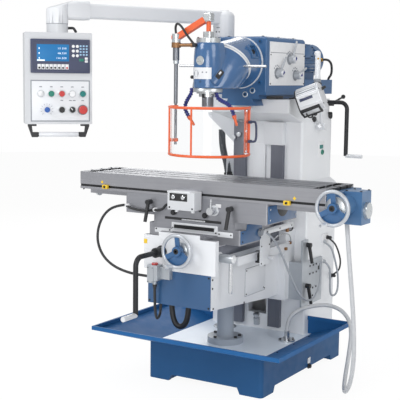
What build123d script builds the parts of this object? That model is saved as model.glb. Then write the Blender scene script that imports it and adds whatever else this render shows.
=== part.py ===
"""Universal milling machine: knee, swivelling table, ram with a two-axis head, guard, lamp and panel.

Millimetres. Origin on the floor at the middle of the base, +X to the operator's right, +Y back, +Z up.
"""

import os
from math import cos, pi, radians, sin, tan

from build123d import *

os.makedirs("parts", exist_ok=True)

# Clearances
slide_gap = 0.5
running_gap = 0.05
face_gap = 0.6
pin_end_room = 4
overcut = 1
round_slack = 0.01

# Base and chip tray
base_width = 700
base_depth = 990
base_height = 200
base_wall = 26
base_corner = 22
notch_height = 34
notch_angle = 65
foot_length = 130
foot_pad = 110
foot_pad_height = 40
bolt_spacing_x = 560
bolt_spacing_y = 850
bolt_hole_radius = 9
tray_floor_half_width = 327
tray_half_width = 563
tray_front_y = -728
tray_rear_y = 148
tray_rim_z = 301
tray_lip_height = 20
tray_lip_width = 12
tray_sheet = 4

# Column
column_front_y = 95
column_rear_y = 485
column_left_x = -176
column_right_x = 262
column_foot_half_width = 300
column_foot_top_z = 1036
column_shoulder_height = 26
column_body_top_z = 1390
column_wall = 45
column_foot_edge = 10
column_edge = 14
way_inner_x = 82
way_outer_x = 155
way_depth = 28
way_bottom_z = 225
way_top_z = 1385
column_window_half_width = 58
column_window_bottom_z = 290
column_window_height = 130
column_head_half_width = 247
column_head_front_y = -45
column_head_bottom_z = 1443
column_head_top_z = 1516
ram_tongue_half_width = 88
ram_tongue_depth = 34
ram_tongue_flare = 12

# Elevating screw
screw_y = -269
pedestal_radius = 45
pedestal_flange_radius = 97
pedestal_flange_height = 34
pedestal_top_z = 520
pedestal_bore_radius = 25
pedestal_chamfer = 6
elevating_screw_radius = 22
elevating_screw_engaged = 180

# Drain
drain_x = 274
drain_y = -67
drain_flange_radius = 46
drain_flange_height = 8
drain_spigot_radius = 15
drain_spigot_height = 45

# Knee
knee_half_width = 186
knee_front_y = -742
knee_bottom_front_z = 486
knee_bottom_rear_z = 440
knee_slope_end_y = -131
knee_heel_z = 410
knee_heel_y = -20
knee_top_z = 800
knee_wall = 26
knee_floor_opening_y = -400
apron_half_width = 212
apron_skirt = 138
apron_rise = 36
apron_depth = 30
apron_crown_half_width = 122
apron_crown_height = 21
knee_cover_thickness = 3
saddle_guide_half_width = 110
saddle_guide_height = 30
knee_keeper_width = 74
clamp_plate_thickness = 10
clamp_plate_rear_y = 290
clamp_plate_bottom_z = 372
clamp_plate_top_z = 622
clamp_plate_front_y = 30
clamp_ear_top_z = 745
clamp_ear_depth = 70
clamp_flange_rise = 40

# Saddle, carriage and table
table_centre_y = -448
table_half_length = 731
table_edge = 6
casting_edge = 8
table_width = 328
carriage_height = 105
table_thickness = 92
t_slot_pitch = 80
t_slot_width = 18
t_slot_neck = 20
t_slot_foot_width = 30
t_slot_foot_height = 12
table_rib_half_width = 70
table_rib_depth = 34
screw_channel_half_width = 24
screw_channel_height = 30
table_front_groove_rise = 13
table_front_groove_height = 12
table_front_groove_depth = 8
gutter_length = 36
gutter_depth = 14
gutter_margin = 42
gutter_end_margin = 18
table_screw_radius = 16
table_screw_drop = 12
table_bearing_radius = 30
table_bearing_inset = 4
table_bearing_length = 34
saddle_half_width = 273
saddle_height = 117.5
swivel_boss_radius = 60
swivel_boss_height = 30
lever_relief_radius = 292
lever_relief_depth = 40
carriage_half_width = 423
carriage_overhang = 1
nut_half_length = 40
nut_half_width = 20

# Table ends
drive_plate_length = 44
drive_plate_reach = 64
drive_plate_inset = 6
drive_plate_drop = 16
drive_box_length = 92
drive_box_half_depth = 57
drive_box_reach = 79
drive_box_drop = 12
drive_cap_radius = 39
drive_cap_length = 16
drive_hub_offset = 17
drive_hub_rise = 15
drive_hub_radius = 46
drive_hub_reach = 36
drive_shaft_length = 98
handwheel_radius = 88
handwheel_rim_radius = 9
handwheel_hub_radius = 24
handwheel_shaft_radius = 12
handwheel_spoke_width = 24
handwheel_spoke_thickness = 9
handwheel_spoke_count = 3
handwheel_hub_rise = 6
handwheel_grip_radius = 8
handwheel_grip_length = 62
handwheel_grip_angle = 250
handwheel_dish = 26
handwheel_spoke_set = 16

# Knee controls
cross_wheel_x = 24
cross_wheel_drop = 22
cross_wheel_reach = 61
cross_screw_reach = 330
knee_crank_x = -104
knee_crank_drop = 43
knee_crank_shaft_radius = 13
knee_crank_hub_radius = 25
knee_crank_hub_length = 60
knee_crank_reach = 227
knee_crank_arm = 285
knee_crank_bend = 45
knee_crank_grip_length = 105
knee_crank_grip_radius = 13
switch_box_size = (62, 52, 78)
switch_box_x = -128
switch_box_drop = 10
switch_bracket_width = 58
switch_bracket_depth = 26
switch_gland_radius = 10
switch_gland_length = 26
switch_cap_radius = 16
switch_cap_height = 8
switch_edge = 4
lock_lever_y = -667
lock_lever_drop = 57
lock_hub_radius = 22
lock_hub_length = 82
lock_rod_radius = 7
lock_rod_length = 175
lock_pin_length = 26

# Black clamp levers
lever_hub_radius = 13
lever_hub_length = 26
lever_length = 105
lever_root_radius = 10
lever_tip_radius = 9
knee_lever_hang = (0.12, 0.16, -1)
carriage_lever_hang = (0, -0.3, -1)
carriage_lever_x = (-262, 222)
carriage_lever_hub_length = 36
carriage_lever_drop = 38.5
clamp_lever_y = 84
clamp_lever_z = (716, 486)
trip_box_x = (-110, 50)
trip_box_drop = 58.5
trip_box_height = 95
trip_box_depth = 74
trip_box_edge = 4
trip_bracket_depth = 5
trip_bracket_inset = 10
trip_bracket_drop = 4
feed_lever_x = 122
feed_lever_drop = 55.5
feed_hub_radius = 19
feed_hub_length = 46
feed_rod_radius = 5
feed_rod_length = 62
feed_rod_lean = (0.05, 0, 1)

# Ram
ram_half_width = 158
ram_front_y = -150
ram_rear_y = 700
ram_clearance = 2
ram_foot_half_width = 113
ram_foot_height = 23
ram_deck_thickness = 19
ram_tail_height = 65
gearbox_rear_y = 318
gearbox_height = 290
gearbox_edge = 22
gearbox_wall = 20
motor_radius = 92
motor_x = 0
motor_rise = 180
motor_length = 400
motor_edge = 18
motor_foot_half_width = 60
motor_foot_start = 60
motor_foot_length = 270
motor_foot_sink = 28
terminal_box_start = 90
terminal_box_length = 120
terminal_box_x = (20, 104)
terminal_box_rise = (10, 84)
gear_lever_y = (114, -32, 188)
gear_lever_rise = (175, 98, 88)
gear_lever_tilts = (-26, -38, -68)
gear_knob_radius = 22
gear_knob_length = 42
gear_rod_radius = 6
gear_rod_length = 88
gear_knob_chamfer = 4
ram_crank_y = 440
ram_crank_drop = 19
ram_crank_x = 372
ram_crank_shaft_radius = 12
ram_crank_shaft_room = 12
ram_crank_arm = 305
ram_crank_bend = 40
ram_crank_grip_length = 100
ram_crank_grip_radius = 11
ram_lock_y = 470
ram_lock_drop = 28
ram_lock_reach = (0, 168, 38)

# Head
head_axis_rise = 152
tilt_ring_radius = 138
tilt_ring_width = 12
ring_step = 3
nod_ring_radius = 140
nod_ring_reach = 163
nod_ring_drop = 7
nod_ring_width = 10
spindle_reach = 174
spindle_housing_radius = 75
head_height = 235
head_rise = 98
head_ring_height = 18
head_cap_height = 20
head_cap_radius = 62
head_crown = 12
head_blend_depth = 6
head_blend_inset = 4
head_blend_corner = 55
head_ring_step = 1
head_bar_reach = 37
head_bar_drop = 21
head_bar_radius = 7
head_bar_half_length = 262
spindle_nose_radius = 44.44
spindle_nose_length = 24
spindle_tip_radius = 30
spindle_tip_length = 50
spindle_radius = 35
spindle_length = 240
spindle_end_room = 11
taper_mouth_radius = 22.2
taper_end_radius = 12.6
taper_length = 66
drawbar_radius = 8.5

# Coolant hoses
bead_radius = 11
bead_neck_radius = 7.5
bead_pitch = 13
hose_bore_radius = 4
hose_offset = 13
nozzle_length = 56
nozzle_tip_radius = 5

# Guard
guard_block_width = 46
guard_block_height = 32
guard_block_corner = 10
guard_post_radius = 12
guard_post_height = 82
guard_knuckle_size = 44
guard_knuckle_edge = 6
guard_rod_offset = (-150, -70)
guard_rod_drop = 84
guard_rod_radius = 10
guard_pivot_radius = 7
guard_lug_wall = 7
guard_arm_thickness = 30
guard_arm_inset = 26
guard_centre_offset = (9, 5)
guard_start_angle = 211
guard_bar_angle = 275
guard_rail_radius = 206
guard_rail_bar = 7
guard_upright_radius = 5
guard_drop = 95
guard_height = 240
guard_end_bar_width = 26
guard_end_bar_thickness = 6
guard_window_thickness = 3
guard_sleeve_radius = 17
guard_sleeve_length = 64
guard_clamp_height = 26
guard_clamp_radius = 24
guard_lug_height = 16
guard_pivot_rise = 46
guard_window_setback = 22

# Lamp
lamp_bracket_y = 285
lamp_bracket_z = 1366
lamp_bracket_radius = 20
lamp_bracket_reach = 52
lamp_base_radius = 12
lamp_neck_x = 358
lamp_neck_y = 60
lamp_neck_top_z = 1766
lamp_neck_radius = 15
lamp_neck_length = 150
lamp_link_radius = 13
lamp_rod_radius = 9
lamp_pin_turn = 31.5
lamp_pin_radius = 7
lamp_body_place = (361, -18, 1520)
lamp_body_size = (112, 143, 130)
lamp_body_lean = 21
lamp_body_turn = 10
lamp_body_edge = 48

# Swing arm and control panel
post_x = -322
post_y = 216
post_radius = 55
post_top_z = 1862
post_shelf_rise = 40
post_shelf_thickness = 20
post_shelf_half_depth = 70
post_gusset_height = 150
post_shelf_gap = 20
arm_rise = 111
arm_height = 78
arm_width = 70
arm_elbow_radius = 62
arm_elbow_rise = 6
arm_elbow_chamfer = 31
arm_edge = 12
arm_tube_setback = 30
arm_end_x = -757
arm_end_y = -766
arm_sleeve_height = 98
arm_sleeve_length = 130
arm_sleeve_width = 94
arm_sleeve_edge = 14
arm_sleeve_setback = 40
panel_turn = 45.8
panel_width = 350
panel_height = 475
panel_depth = 110
panel_wall = 4
panel_corner = 6
panel_collar_height = 46.5
panel_collar_drop = 73
panel_collar_radius = 56
arm_collar_radius = 57
panel_handle_drop = 66
panel_handle_half_width = 160
panel_handle_bar_radius = 12
panel_bracket_depth = 30
panel_bracket_leg = 20
panel_bracket_foot = 44
panel_bracket_bar = 10
panel_bracket_lean = 4
panel_bracket_toe = 50
panel_bracket_lip = 2
panel_bar_setback = 26
button_pitch = 54.7
button_first_x = -94
button_row_z = -79
control_row_z = -162
button_radius = 15
button_rise = 12
button_travel = 5.5
button_crown = 2
button_stem_radius = 11
button_stem_length = 24
stop_radius = 22
stop_rise = 24
stop_crown = 4
dial_radius = 14
dial_x = -62

# Cord sizes
drain_hose_radius = 11
table_cable_radius = 5.5
conduit_radius = 6
black_cable_radius = 5
panel_conduit_radius = 21
switch_cable_radius = 5
oil_hose_radius = 13

# Values worked out from those above
table_front_y = table_centre_y - table_width / 2
table_rear_y = table_centre_y + table_width / 2
way_front_y = column_front_y - way_depth
knee_rear_y = way_front_y - slide_gap
apron_face_y = knee_front_y - knee_cover_thickness
apron_bottom_z = knee_top_z - apron_skirt
apron_top_z = knee_top_z + apron_rise
apron_crown_top_z = apron_top_z + apron_crown_height
cross_wheel_y = apron_face_y - cross_wheel_reach
cross_wheel_z = knee_top_z - cross_wheel_drop
knee_crank_y = apron_face_y - knee_crank_reach
knee_crank_z = knee_top_z - knee_crank_drop
lock_lever_z = knee_top_z - lock_lever_drop
switch_box_z = apron_bottom_z - switch_box_drop
saddle_bottom_z = knee_top_z + slide_gap
saddle_top_z = saddle_bottom_z + saddle_height
carriage_bottom_z = saddle_top_z + slide_gap
carriage_top_z = carriage_bottom_z + carriage_height
carriage_front_y = table_front_y - carriage_overhang
carriage_face_y = carriage_front_y - face_gap
carriage_lever_z = carriage_top_z - carriage_lever_drop
feed_lever_z = carriage_top_z - feed_lever_drop
trip_box_z = (carriage_top_z - trip_box_drop, carriage_top_z - trip_box_drop + trip_box_height)
table_bottom_z = carriage_top_z + slide_gap
table_top_z = table_bottom_z + table_thickness
table_front_groove_z = table_bottom_z + table_front_groove_rise
table_screw_z = table_bottom_z - table_screw_drop
drive_plate_end = table_half_length + drive_plate_length
drive_box_end = drive_plate_end + drive_box_length
drive_plate_bottom_z = table_bottom_z - drive_plate_reach
drive_box_bottom_z = table_bottom_z - drive_box_reach
drive_box_top_z = table_top_z - drive_box_drop
drive_hub_x = drive_plate_end + drive_hub_offset
drive_hub_z = table_bottom_z + drive_hub_rise
drive_hub_front_y = table_front_y - drive_hub_reach
ram_bottom_z = column_head_top_z + ram_clearance
ram_shoulder_z = ram_bottom_z + ram_foot_height
ram_deck_z = ram_shoulder_z + ram_deck_thickness
ram_tail_top_z = ram_deck_z + ram_tail_height
gearbox_top_z = ram_deck_z + gearbox_height
motor_z = ram_deck_z + motor_rise
terminal_box_z = (motor_z + terminal_box_rise[0], motor_z + terminal_box_rise[1])
gear_lever_places = [(y, ram_deck_z + rise) for y, rise in zip(gear_lever_y, gear_lever_rise)]
ram_crank_z = column_head_top_z - ram_crank_drop
ram_lock_z = column_head_top_z - ram_lock_drop
head_axis_z = ram_deck_z + head_axis_rise
nod_ring_y = ram_front_y - nod_ring_reach
nod_ring_z = head_axis_z - nod_ring_drop
spindle_y = nod_ring_y - spindle_reach
head_top_z = head_axis_z + head_rise
head_bottom_z = head_top_z - head_height
head_blend_room = min(spindle_housing_radius - head_blend_inset, head_height / 2 - head_crown) - overcut
head_bar_y = nod_ring_y - head_bar_reach
head_bar_z = head_axis_z - head_bar_drop
hose_y = spindle_y - hose_offset
guard_post_top_z = head_top_z + head_cap_height + guard_post_height
guard_rod_x = guard_rod_offset[0]
guard_rod_y = spindle_y + guard_rod_offset[1]
guard_rod_top_z = guard_post_top_z - guard_rod_drop
guard_centre_x = guard_centre_offset[0]
guard_centre_y = spindle_y + guard_centre_offset[1]
guard_top_z = head_bottom_z - guard_drop
guard_bottom_z = guard_top_z - guard_height
post_shelf_z = column_body_top_z + post_shelf_rise
arm_z = post_top_z + arm_rise
panel_collar_top_z = arm_z - panel_collar_drop
panel_top_z = panel_collar_top_z - panel_collar_height
panel_centre_z = panel_top_z - panel_height / 2
panel_plane = Plane(
    origin=(
        arm_end_x + panel_depth / 2 * sin(radians(panel_turn)),
        arm_end_y - panel_depth / 2 * cos(radians(panel_turn)),
        panel_centre_z,
    ),
    x_dir=(cos(radians(panel_turn)), sin(radians(panel_turn)), 0),
    z_dir=(sin(radians(panel_turn)), -cos(radians(panel_turn)), 0),
)
nod_axis = Vector(0, -sin(radians(45)), -sin(radians(45)))
nod_centre = Vector(0, nod_ring_y, nod_ring_z)
lowest = (Align.CENTER, Align.CENTER, Align.MIN)


def block(x, y, z, mode=Mode.ADD):
    """A box between two x, two y and two z values."""
    with Locations(((x[0] + x[1]) / 2, (y[0] + y[1]) / 2, (z[0] + z[1]) / 2)):
        Box(x[1] - x[0], y[1] - y[0], z[1] - z[0], mode=mode)


def rod(start, direction, radius, length, mode=Mode.ADD):
    """A round bar from a point, along a direction."""
    with Locations(Plane(origin=start, z_dir=direction).location):
        Cylinder(radius, length, align=lowest, mode=mode)


def save(builder, name):
    builder.part.label = name
    export_step(builder.part, f"parts/{name}.step")


def corner_radii(points):
    """The largest even arc for each corner of a cord's route."""
    radii = []
    for before, corner, after in zip(points, points[1:], points[2:]):
        run_in = Vector(*corner) - Vector(*before)
        run_out = Vector(*after) - Vector(*corner)
        half_turn = radians(run_in.get_angle(run_out)) / 2
        radii.append(0.45 * min(run_in.length, run_out.length) / tan(half_turn))
    return radii


def cord(name, points, radius):
    """A plain tube along straight runs and tangent arcs."""
    radii = corner_radii(points)
    print(name, "radii", [round(value) for value in radii])
    with BuildPart() as tube:
        with BuildLine():
            route = FilletPolyline(*points, radius=radii)
        with BuildSketch(Plane(origin=route @ 0, z_dir=route % 0)):
            Circle(radius)
        sweep()
    expected = pi * radius**2 * route.length
    print(name, "length", round(route.length), "volume ratio", round(tube.part.volume / expected, 4))
    return tube.part


# Base casting, hollow underneath, with notches between its feet
with BuildPart() as base_casting:
    block((-base_width / 2, base_width / 2), (-base_depth / 2, base_depth / 2), (0, base_height))
    fillet(base_casting.edges().filter_by(Axis.Z), base_corner)
    inner_x = base_width / 2 - base_wall
    inner_y = base_depth / 2 - base_wall
    block((-inner_x, inner_x), (-inner_y, inner_y), (-overcut, base_height - base_wall), Mode.SUBTRACT)
    with BuildSketch(Plane.XZ):
        with Locations((0, notch_height / 2)):
            Trapezoid(base_width - 2 * foot_length, notch_height, notch_angle)
    extrude(amount=base_depth, both=True, mode=Mode.SUBTRACT)
    with BuildSketch(Plane.YZ):
        with Locations((0, notch_height / 2)):
            Trapezoid(base_depth - 2 * foot_length, notch_height, notch_angle)
    extrude(amount=base_width, both=True, mode=Mode.SUBTRACT)
    with GridLocations(bolt_spacing_x, bolt_spacing_y, 2, 2):
        Box(foot_pad, foot_pad, foot_pad_height, align=lowest)
        Cylinder(bolt_hole_radius, foot_pad_height, align=lowest, mode=Mode.SUBTRACT)
save(base_casting, "base_casting")

# Chip tray: sloping sheet sides with a turned rim, cut away round the column
slope_top_z = tray_rim_z - tray_lip_height
tray_middle_y = (tray_front_y + tray_rear_y) / 2
with BuildPart() as chip_tray:
    for inset, mode in ((0, Mode.ADD), (tray_sheet, Mode.SUBTRACT)):
        with BuildSketch(Plane.XY.offset(base_height)):
            with Locations((0, (tray_rear_y - base_depth / 2) / 2)):
                Rectangle(2 * (tray_floor_half_width - inset), tray_rear_y + base_depth / 2 - 2 * inset)
        with BuildSketch(Plane.XY.offset(slope_top_z)):
            with Locations((0, tray_middle_y)):
                Rectangle(2 * (tray_half_width - inset), tray_rear_y - tray_front_y - 2 * inset)
        loft(mode=mode)
    with BuildSketch(Plane.XY.offset(slope_top_z)):
        with Locations((0, tray_middle_y)):
            Rectangle(2 * tray_half_width, tray_rear_y - tray_front_y)
            lip = 2 * tray_lip_width
            Rectangle(2 * tray_half_width - lip, tray_rear_y - tray_front_y - lip, mode=Mode.SUBTRACT)
    extrude(amount=tray_lip_height)
    column_room = column_foot_half_width + face_gap
    block(
        (-column_room, column_room),
        (column_front_y - face_gap, tray_rear_y + overcut),
        (base_height - overcut, tray_rim_z + overcut),
        Mode.SUBTRACT,
    )
save(chip_tray, "chip_tray")

# Column casting with its two square ways, a hollow inside and the flared head that carries the ram
column_depth = column_rear_y - column_front_y
column_middle_y = (column_front_y + column_rear_y) / 2
column_width = column_right_x - column_left_x
column_middle_x = (column_left_x + column_right_x) / 2
column_shoulder_z = column_foot_top_z + column_shoulder_height
head_depth = column_rear_y - column_head_front_y
head_middle_y = (column_head_front_y + column_rear_y) / 2
with BuildPart() as column_casting:
    with BuildSketch(Plane.XY.offset(base_height)):
        with Locations((0, column_middle_y)):
            RectangleRounded(2 * column_foot_half_width, column_depth, column_foot_edge)
    extrude(amount=column_foot_top_z - base_height)
    with BuildSketch(Plane.XY.offset(column_foot_top_z)):
        with Locations((0, column_middle_y)):
            RectangleRounded(2 * column_foot_half_width, column_depth, column_foot_edge)
    with BuildSketch(Plane.XY.offset(column_shoulder_z)):
        with Locations((column_middle_x, column_middle_y)):
            RectangleRounded(column_width, column_depth, column_edge)
    loft()
    with BuildSketch(Plane.XY.offset(column_shoulder_z)):
        with Locations((column_middle_x, column_middle_y)):
            RectangleRounded(column_width, column_depth, column_edge)
    extrude(amount=column_body_top_z - column_shoulder_z)
    with BuildSketch(Plane.XY.offset(column_body_top_z)):
        with Locations((column_middle_x, column_middle_y)):
            RectangleRounded(column_width, column_depth, column_edge)
    with BuildSketch(Plane.XY.offset(column_head_bottom_z)):
        with Locations((0, head_middle_y)):
            RectangleRounded(2 * column_head_half_width, head_depth, column_edge)
    loft()
    with BuildSketch(Plane.XY.offset(column_head_bottom_z)):
        with Locations((0, head_middle_y)):
            RectangleRounded(2 * column_head_half_width, head_depth, column_edge)
    extrude(amount=column_head_top_z - column_head_bottom_z)
    for side in (-1, 1):
        way_x = sorted((side * way_inner_x, side * way_outer_x))
        block(way_x, (way_front_y, column_front_y), (way_bottom_z, way_top_z))
    block(
        (column_left_x + column_wall, column_right_x - column_wall),
        (column_front_y + column_wall, column_rear_y - column_wall),
        (base_height - overcut, column_body_top_z - column_wall),
        Mode.SUBTRACT,
    )
    block(
        (-column_window_half_width, column_window_half_width),
        (column_front_y - overcut, column_front_y + column_wall + overcut),
        (column_window_bottom_z, column_window_bottom_z + column_window_height),
        Mode.SUBTRACT,
    )
    slot_half_width = ram_tongue_half_width + slide_gap
    slot_floor_z = column_head_top_z - ram_tongue_depth - slide_gap
    with BuildSketch(Plane.XZ):
        with BuildLine():
            Polyline(
                (-slot_half_width, slot_floor_z),
                (slot_half_width, slot_floor_z),
                (slot_half_width - ram_tongue_flare, column_head_top_z + overcut),
                (ram_tongue_flare - slot_half_width, column_head_top_z + overcut),
                close=True,
            )
        make_face()
    extrude(amount=2 * column_rear_y, both=True, mode=Mode.SUBTRACT)
    rod(
        (column_head_half_width + overcut, ram_crank_y, ram_crank_z),
        (-1, 0, 0),
        ram_crank_shaft_radius + running_gap,
        column_head_half_width - slot_half_width,
        Mode.SUBTRACT,
    )
    rod(
        (column_right_x + overcut, lamp_bracket_y, lamp_bracket_z),
        (-1, 0, 0),
        lamp_base_radius + running_gap,
        column_wall - pin_end_room,
        Mode.SUBTRACT,
    )
    rod(
        (column_head_half_width + overcut, ram_lock_y, ram_lock_z),
        (-1, 0, 0),
        lock_rod_radius + running_gap,
        lock_pin_length + pin_end_room,
        Mode.SUBTRACT,
    )
save(column_casting, "column_casting")

# Pedestal that holds the nut of the elevating screw
with BuildPart() as screw_pedestal:
    rod((0, screw_y, base_height), (0, 0, 1), pedestal_flange_radius, pedestal_flange_height)
    rod((0, screw_y, base_height), (0, 0, 1), pedestal_radius, pedestal_top_z - base_height)
    chamfer(screw_pedestal.edges().group_by(Axis.Z)[-1], pedestal_chamfer)
    rod(
        (0, screw_y, base_height),
        (0, 0, 1),
        pedestal_bore_radius,
        pedestal_top_z - base_height,
        Mode.SUBTRACT,
    )
save(screw_pedestal, "screw_pedestal")

with BuildPart() as elevating_screw:
    screw_low_z = pedestal_top_z - elevating_screw_engaged
    screw_high_z = knee_top_z - knee_wall
    rod((0, screw_y, screw_low_z), (0, 0, 1), elevating_screw_radius, screw_high_z - screw_low_z)
save(elevating_screw, "elevating_screw")

# Drain flange and its spigot in the floor of the base
with BuildPart() as drain_flange:
    rod((drain_x, drain_y, base_height), (0, 0, 1), drain_flange_radius, drain_flange_height)
    rod((drain_x, drain_y, base_height), (0, 0, 1), drain_spigot_radius, drain_spigot_height)
save(drain_flange, "drain_flange")

# Knee casting: sloping underside, hollow with an opening for the screw, guide for the saddle on top
with BuildPart() as knee_casting:
    with BuildSketch(Plane.YZ):
        with BuildLine():
            Polyline(
                (knee_front_y, knee_bottom_front_z),
                (knee_slope_end_y, knee_bottom_rear_z),
                (knee_heel_y, knee_bottom_rear_z),
                (knee_heel_y, knee_heel_z),
                (knee_rear_y, knee_heel_z),
                (knee_rear_y, knee_top_z),
                (knee_front_y, knee_top_z),
                close=True,
            )
        make_face()
    extrude(amount=knee_half_width, both=True)
    cavity_x = knee_half_width - knee_wall
    cavity_rear_y = knee_heel_y - knee_wall
    block(
        (-cavity_x, cavity_x),
        (knee_front_y + knee_wall, cavity_rear_y),
        (knee_bottom_front_z + knee_wall, knee_top_z - knee_wall),
        Mode.SUBTRACT,
    )
    block(
        (-cavity_x, cavity_x),
        (knee_floor_opening_y, cavity_rear_y),
        (knee_heel_z - overcut, knee_bottom_front_z + knee_wall + overcut),
        Mode.SUBTRACT,
    )
    block(
        (-apron_half_width, apron_half_width),
        (apron_face_y, apron_face_y + apron_depth),
        (apron_bottom_z, apron_top_z),
    )
    block(
        (-apron_crown_half_width, apron_crown_half_width),
        (apron_face_y, apron_face_y + apron_depth),
        (apron_top_z, apron_crown_top_z),
    )
    block(
        (-saddle_guide_half_width, saddle_guide_half_width),
        (apron_face_y + apron_depth, knee_rear_y),
        (knee_top_z, knee_top_z + saddle_guide_height),
    )
    for side in (-1, 1):
        keeper_inner = way_outer_x + slide_gap
        keeper_x = sorted((side * keeper_inner, side * (keeper_inner + knee_keeper_width)))
        block(keeper_x, (knee_heel_y, column_front_y - slide_gap), (knee_heel_z, knee_top_z))
    rod(
        (cross_wheel_x, apron_face_y - overcut, cross_wheel_z),
        (0, 1, 0),
        handwheel_shaft_radius + running_gap,
        cross_screw_reach,
        Mode.SUBTRACT,
    )
    rod(
        (knee_crank_x, apron_face_y - overcut, knee_crank_z),
        (0, 1, 0),
        knee_crank_shaft_radius + running_gap,
        knee_wall + apron_depth,
        Mode.SUBTRACT,
    )
    rod(
        (knee_half_width + overcut, lock_lever_y, lock_lever_z),
        (-1, 0, 0),
        lock_rod_radius + running_gap,
        knee_wall,
        Mode.SUBTRACT,
    )
save(knee_casting, "knee_casting")

with BuildPart() as knee_front_cover:
    block(
        (-knee_half_width, knee_half_width),
        (apron_face_y, knee_front_y),
        (knee_bottom_front_z, apron_bottom_z),
    )
save(knee_front_cover, "knee_front_cover")

# Clamp plate: an angle that wraps the corner of the column, with an ear for the upper lever
clamp_inner_x = column_foot_half_width + slide_gap
clamp_outer_x = clamp_inner_x + clamp_plate_thickness
keeper_outer_x = way_outer_x + slide_gap + knee_keeper_width
clamp_front = (clamp_plate_front_y, clamp_plate_front_y + clamp_plate_thickness)
with BuildPart() as knee_clamp_plate:
    block(
        (keeper_outer_x, clamp_outer_x),
        clamp_front,
        (clamp_plate_bottom_z + clamp_flange_rise, clamp_plate_top_z),
    )
    block(
        (clamp_inner_x, clamp_outer_x),
        (clamp_plate_front_y, clamp_plate_rear_y),
        (clamp_plate_bottom_z, clamp_plate_top_z),
    )
    block(
        (clamp_inner_x, clamp_outer_x),
        (clamp_plate_front_y, clamp_plate_front_y + clamp_ear_depth),
        (clamp_plate_top_z, clamp_ear_top_z),
    )
    for lever_z in clamp_lever_z:
        rod(
            (clamp_inner_x - overcut, clamp_lever_y, lever_z),
            (1, 0, 0),
            lock_rod_radius + running_gap,
            clamp_plate_thickness + 2 * overcut,
            Mode.SUBTRACT,
        )
save(knee_clamp_plate, "knee_clamp_plate")

# Limit switch on the knee front: box and bracket
switch_width, switch_depth, switch_height = switch_box_size
switch_low_z = switch_box_z - switch_height / 2
switch_right_x = switch_box_x + switch_width / 2
with BuildPart() as switch_box:
    block(
        (switch_box_x - switch_width / 2, switch_right_x),
        (apron_face_y - switch_depth, apron_face_y),
        (switch_low_z, switch_low_z + switch_height),
    )
    fillet(switch_box.edges().filter_by(Axis.Z), switch_edge)
    block(
        (switch_right_x, switch_right_x + switch_bracket_width),
        (apron_face_y - switch_bracket_depth, apron_face_y),
        (switch_low_z + switch_cap_height, switch_low_z + switch_height - switch_cap_height),
    )
    switch_y = apron_face_y - switch_depth / 2
    rod((switch_box_x, switch_y, switch_low_z), (0, 0, -1), switch_gland_radius, switch_gland_length)
    rod(
        (switch_box_x, switch_y, switch_low_z + switch_height),
        (0, 0, 1),
        switch_cap_radius,
        switch_cap_height,
    )
save(switch_box, "switch_box")


def handwheel(centre, shaft_reach):
    """Dished handwheel facing -Y: rim, three spokes, hub, shaft and turned grip."""
    x, y, z = centre
    with BuildPart() as wheel:
        with Locations(Plane(origin=(x, y, z), z_dir=(0, -1, 0)).location):
            Torus(handwheel_radius - handwheel_rim_radius, handwheel_rim_radius)
        spoke_reach = handwheel_radius - handwheel_rim_radius
        for spoke in range(handwheel_spoke_count):
            angle = 90 + spoke * 360 / handwheel_spoke_count
            tip = Vector(x + spoke_reach * cos(radians(angle)), y, z + spoke_reach * sin(radians(angle)))
            root = Vector(x, y + handwheel_spoke_set, z)
            with BuildSketch(Plane(origin=root, z_dir=tip - root, x_dir=(0, -1, 0))):
                Rectangle(handwheel_spoke_thickness, handwheel_spoke_width)
            extrude(amount=(tip - root).length)
        rod(
            (x, y + handwheel_dish, z),
            (0, -1, 0),
            handwheel_hub_radius,
            handwheel_dish + handwheel_hub_rise,
        )
        rod((x, y + handwheel_dish, z), (0, 1, 0), handwheel_shaft_radius, shaft_reach)
        grip_x = x + spoke_reach * cos(radians(handwheel_grip_angle))
        grip_z = z + spoke_reach * sin(radians(handwheel_grip_angle))
        rod(
            (grip_x, y, grip_z),
            (0, -1, 0),
            handwheel_grip_radius,
            handwheel_grip_length + handwheel_rim_radius,
        )
    return wheel


cross_handwheel = handwheel((cross_wheel_x, cross_wheel_y, cross_wheel_z), cross_screw_reach)
save(cross_handwheel, "cross_handwheel")

# Knee crank: shaft towards the operator, arm hanging down, grip
with BuildPart() as knee_crank:
    shaft_start = apron_face_y + knee_wall
    with BuildLine():
        FilletPolyline(
            (knee_crank_x, shaft_start, knee_crank_z),
            (knee_crank_x, knee_crank_y, knee_crank_z),
            (knee_crank_x, knee_crank_y, knee_crank_z - knee_crank_arm),
            radius=knee_crank_bend,
        )
    with BuildSketch(Plane(origin=(knee_crank_x, shaft_start, knee_crank_z), z_dir=(0, -1, 0))):
        Circle(knee_crank_shaft_radius)
    sweep()
    rod(
        (knee_crank_x, apron_face_y - face_gap, knee_crank_z),
        (0, -1, 0),
        knee_crank_hub_radius,
        knee_crank_hub_length,
    )
    crank_end_z = knee_crank_z - knee_crank_arm
    rod(
        (knee_crank_x, knee_crank_y, crank_end_z),
        (0, -1, 0),
        knee_crank_grip_radius,
        knee_crank_grip_length,
    )
save(knee_crank, "knee_crank")

# Silver lever that locks the saddle
with BuildPart() as saddle_lock_lever:
    rod(
        (knee_half_width + face_gap, lock_lever_y, lock_lever_z),
        (1, 0, 0),
        lock_hub_radius,
        lock_hub_length,
    )
    rod(
        (knee_half_width + face_gap, lock_lever_y, lock_lever_z),
        (-1, 0, 0),
        lock_rod_radius,
        knee_wall - pin_end_room,
    )
    lever_x = knee_half_width + lock_hub_length - lock_rod_radius * 2
    rod((lever_x, lock_lever_y, lock_lever_z), (0, 0, -1), lock_rod_radius, lock_rod_length)
save(saddle_lock_lever, "saddle_lock_lever")


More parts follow.
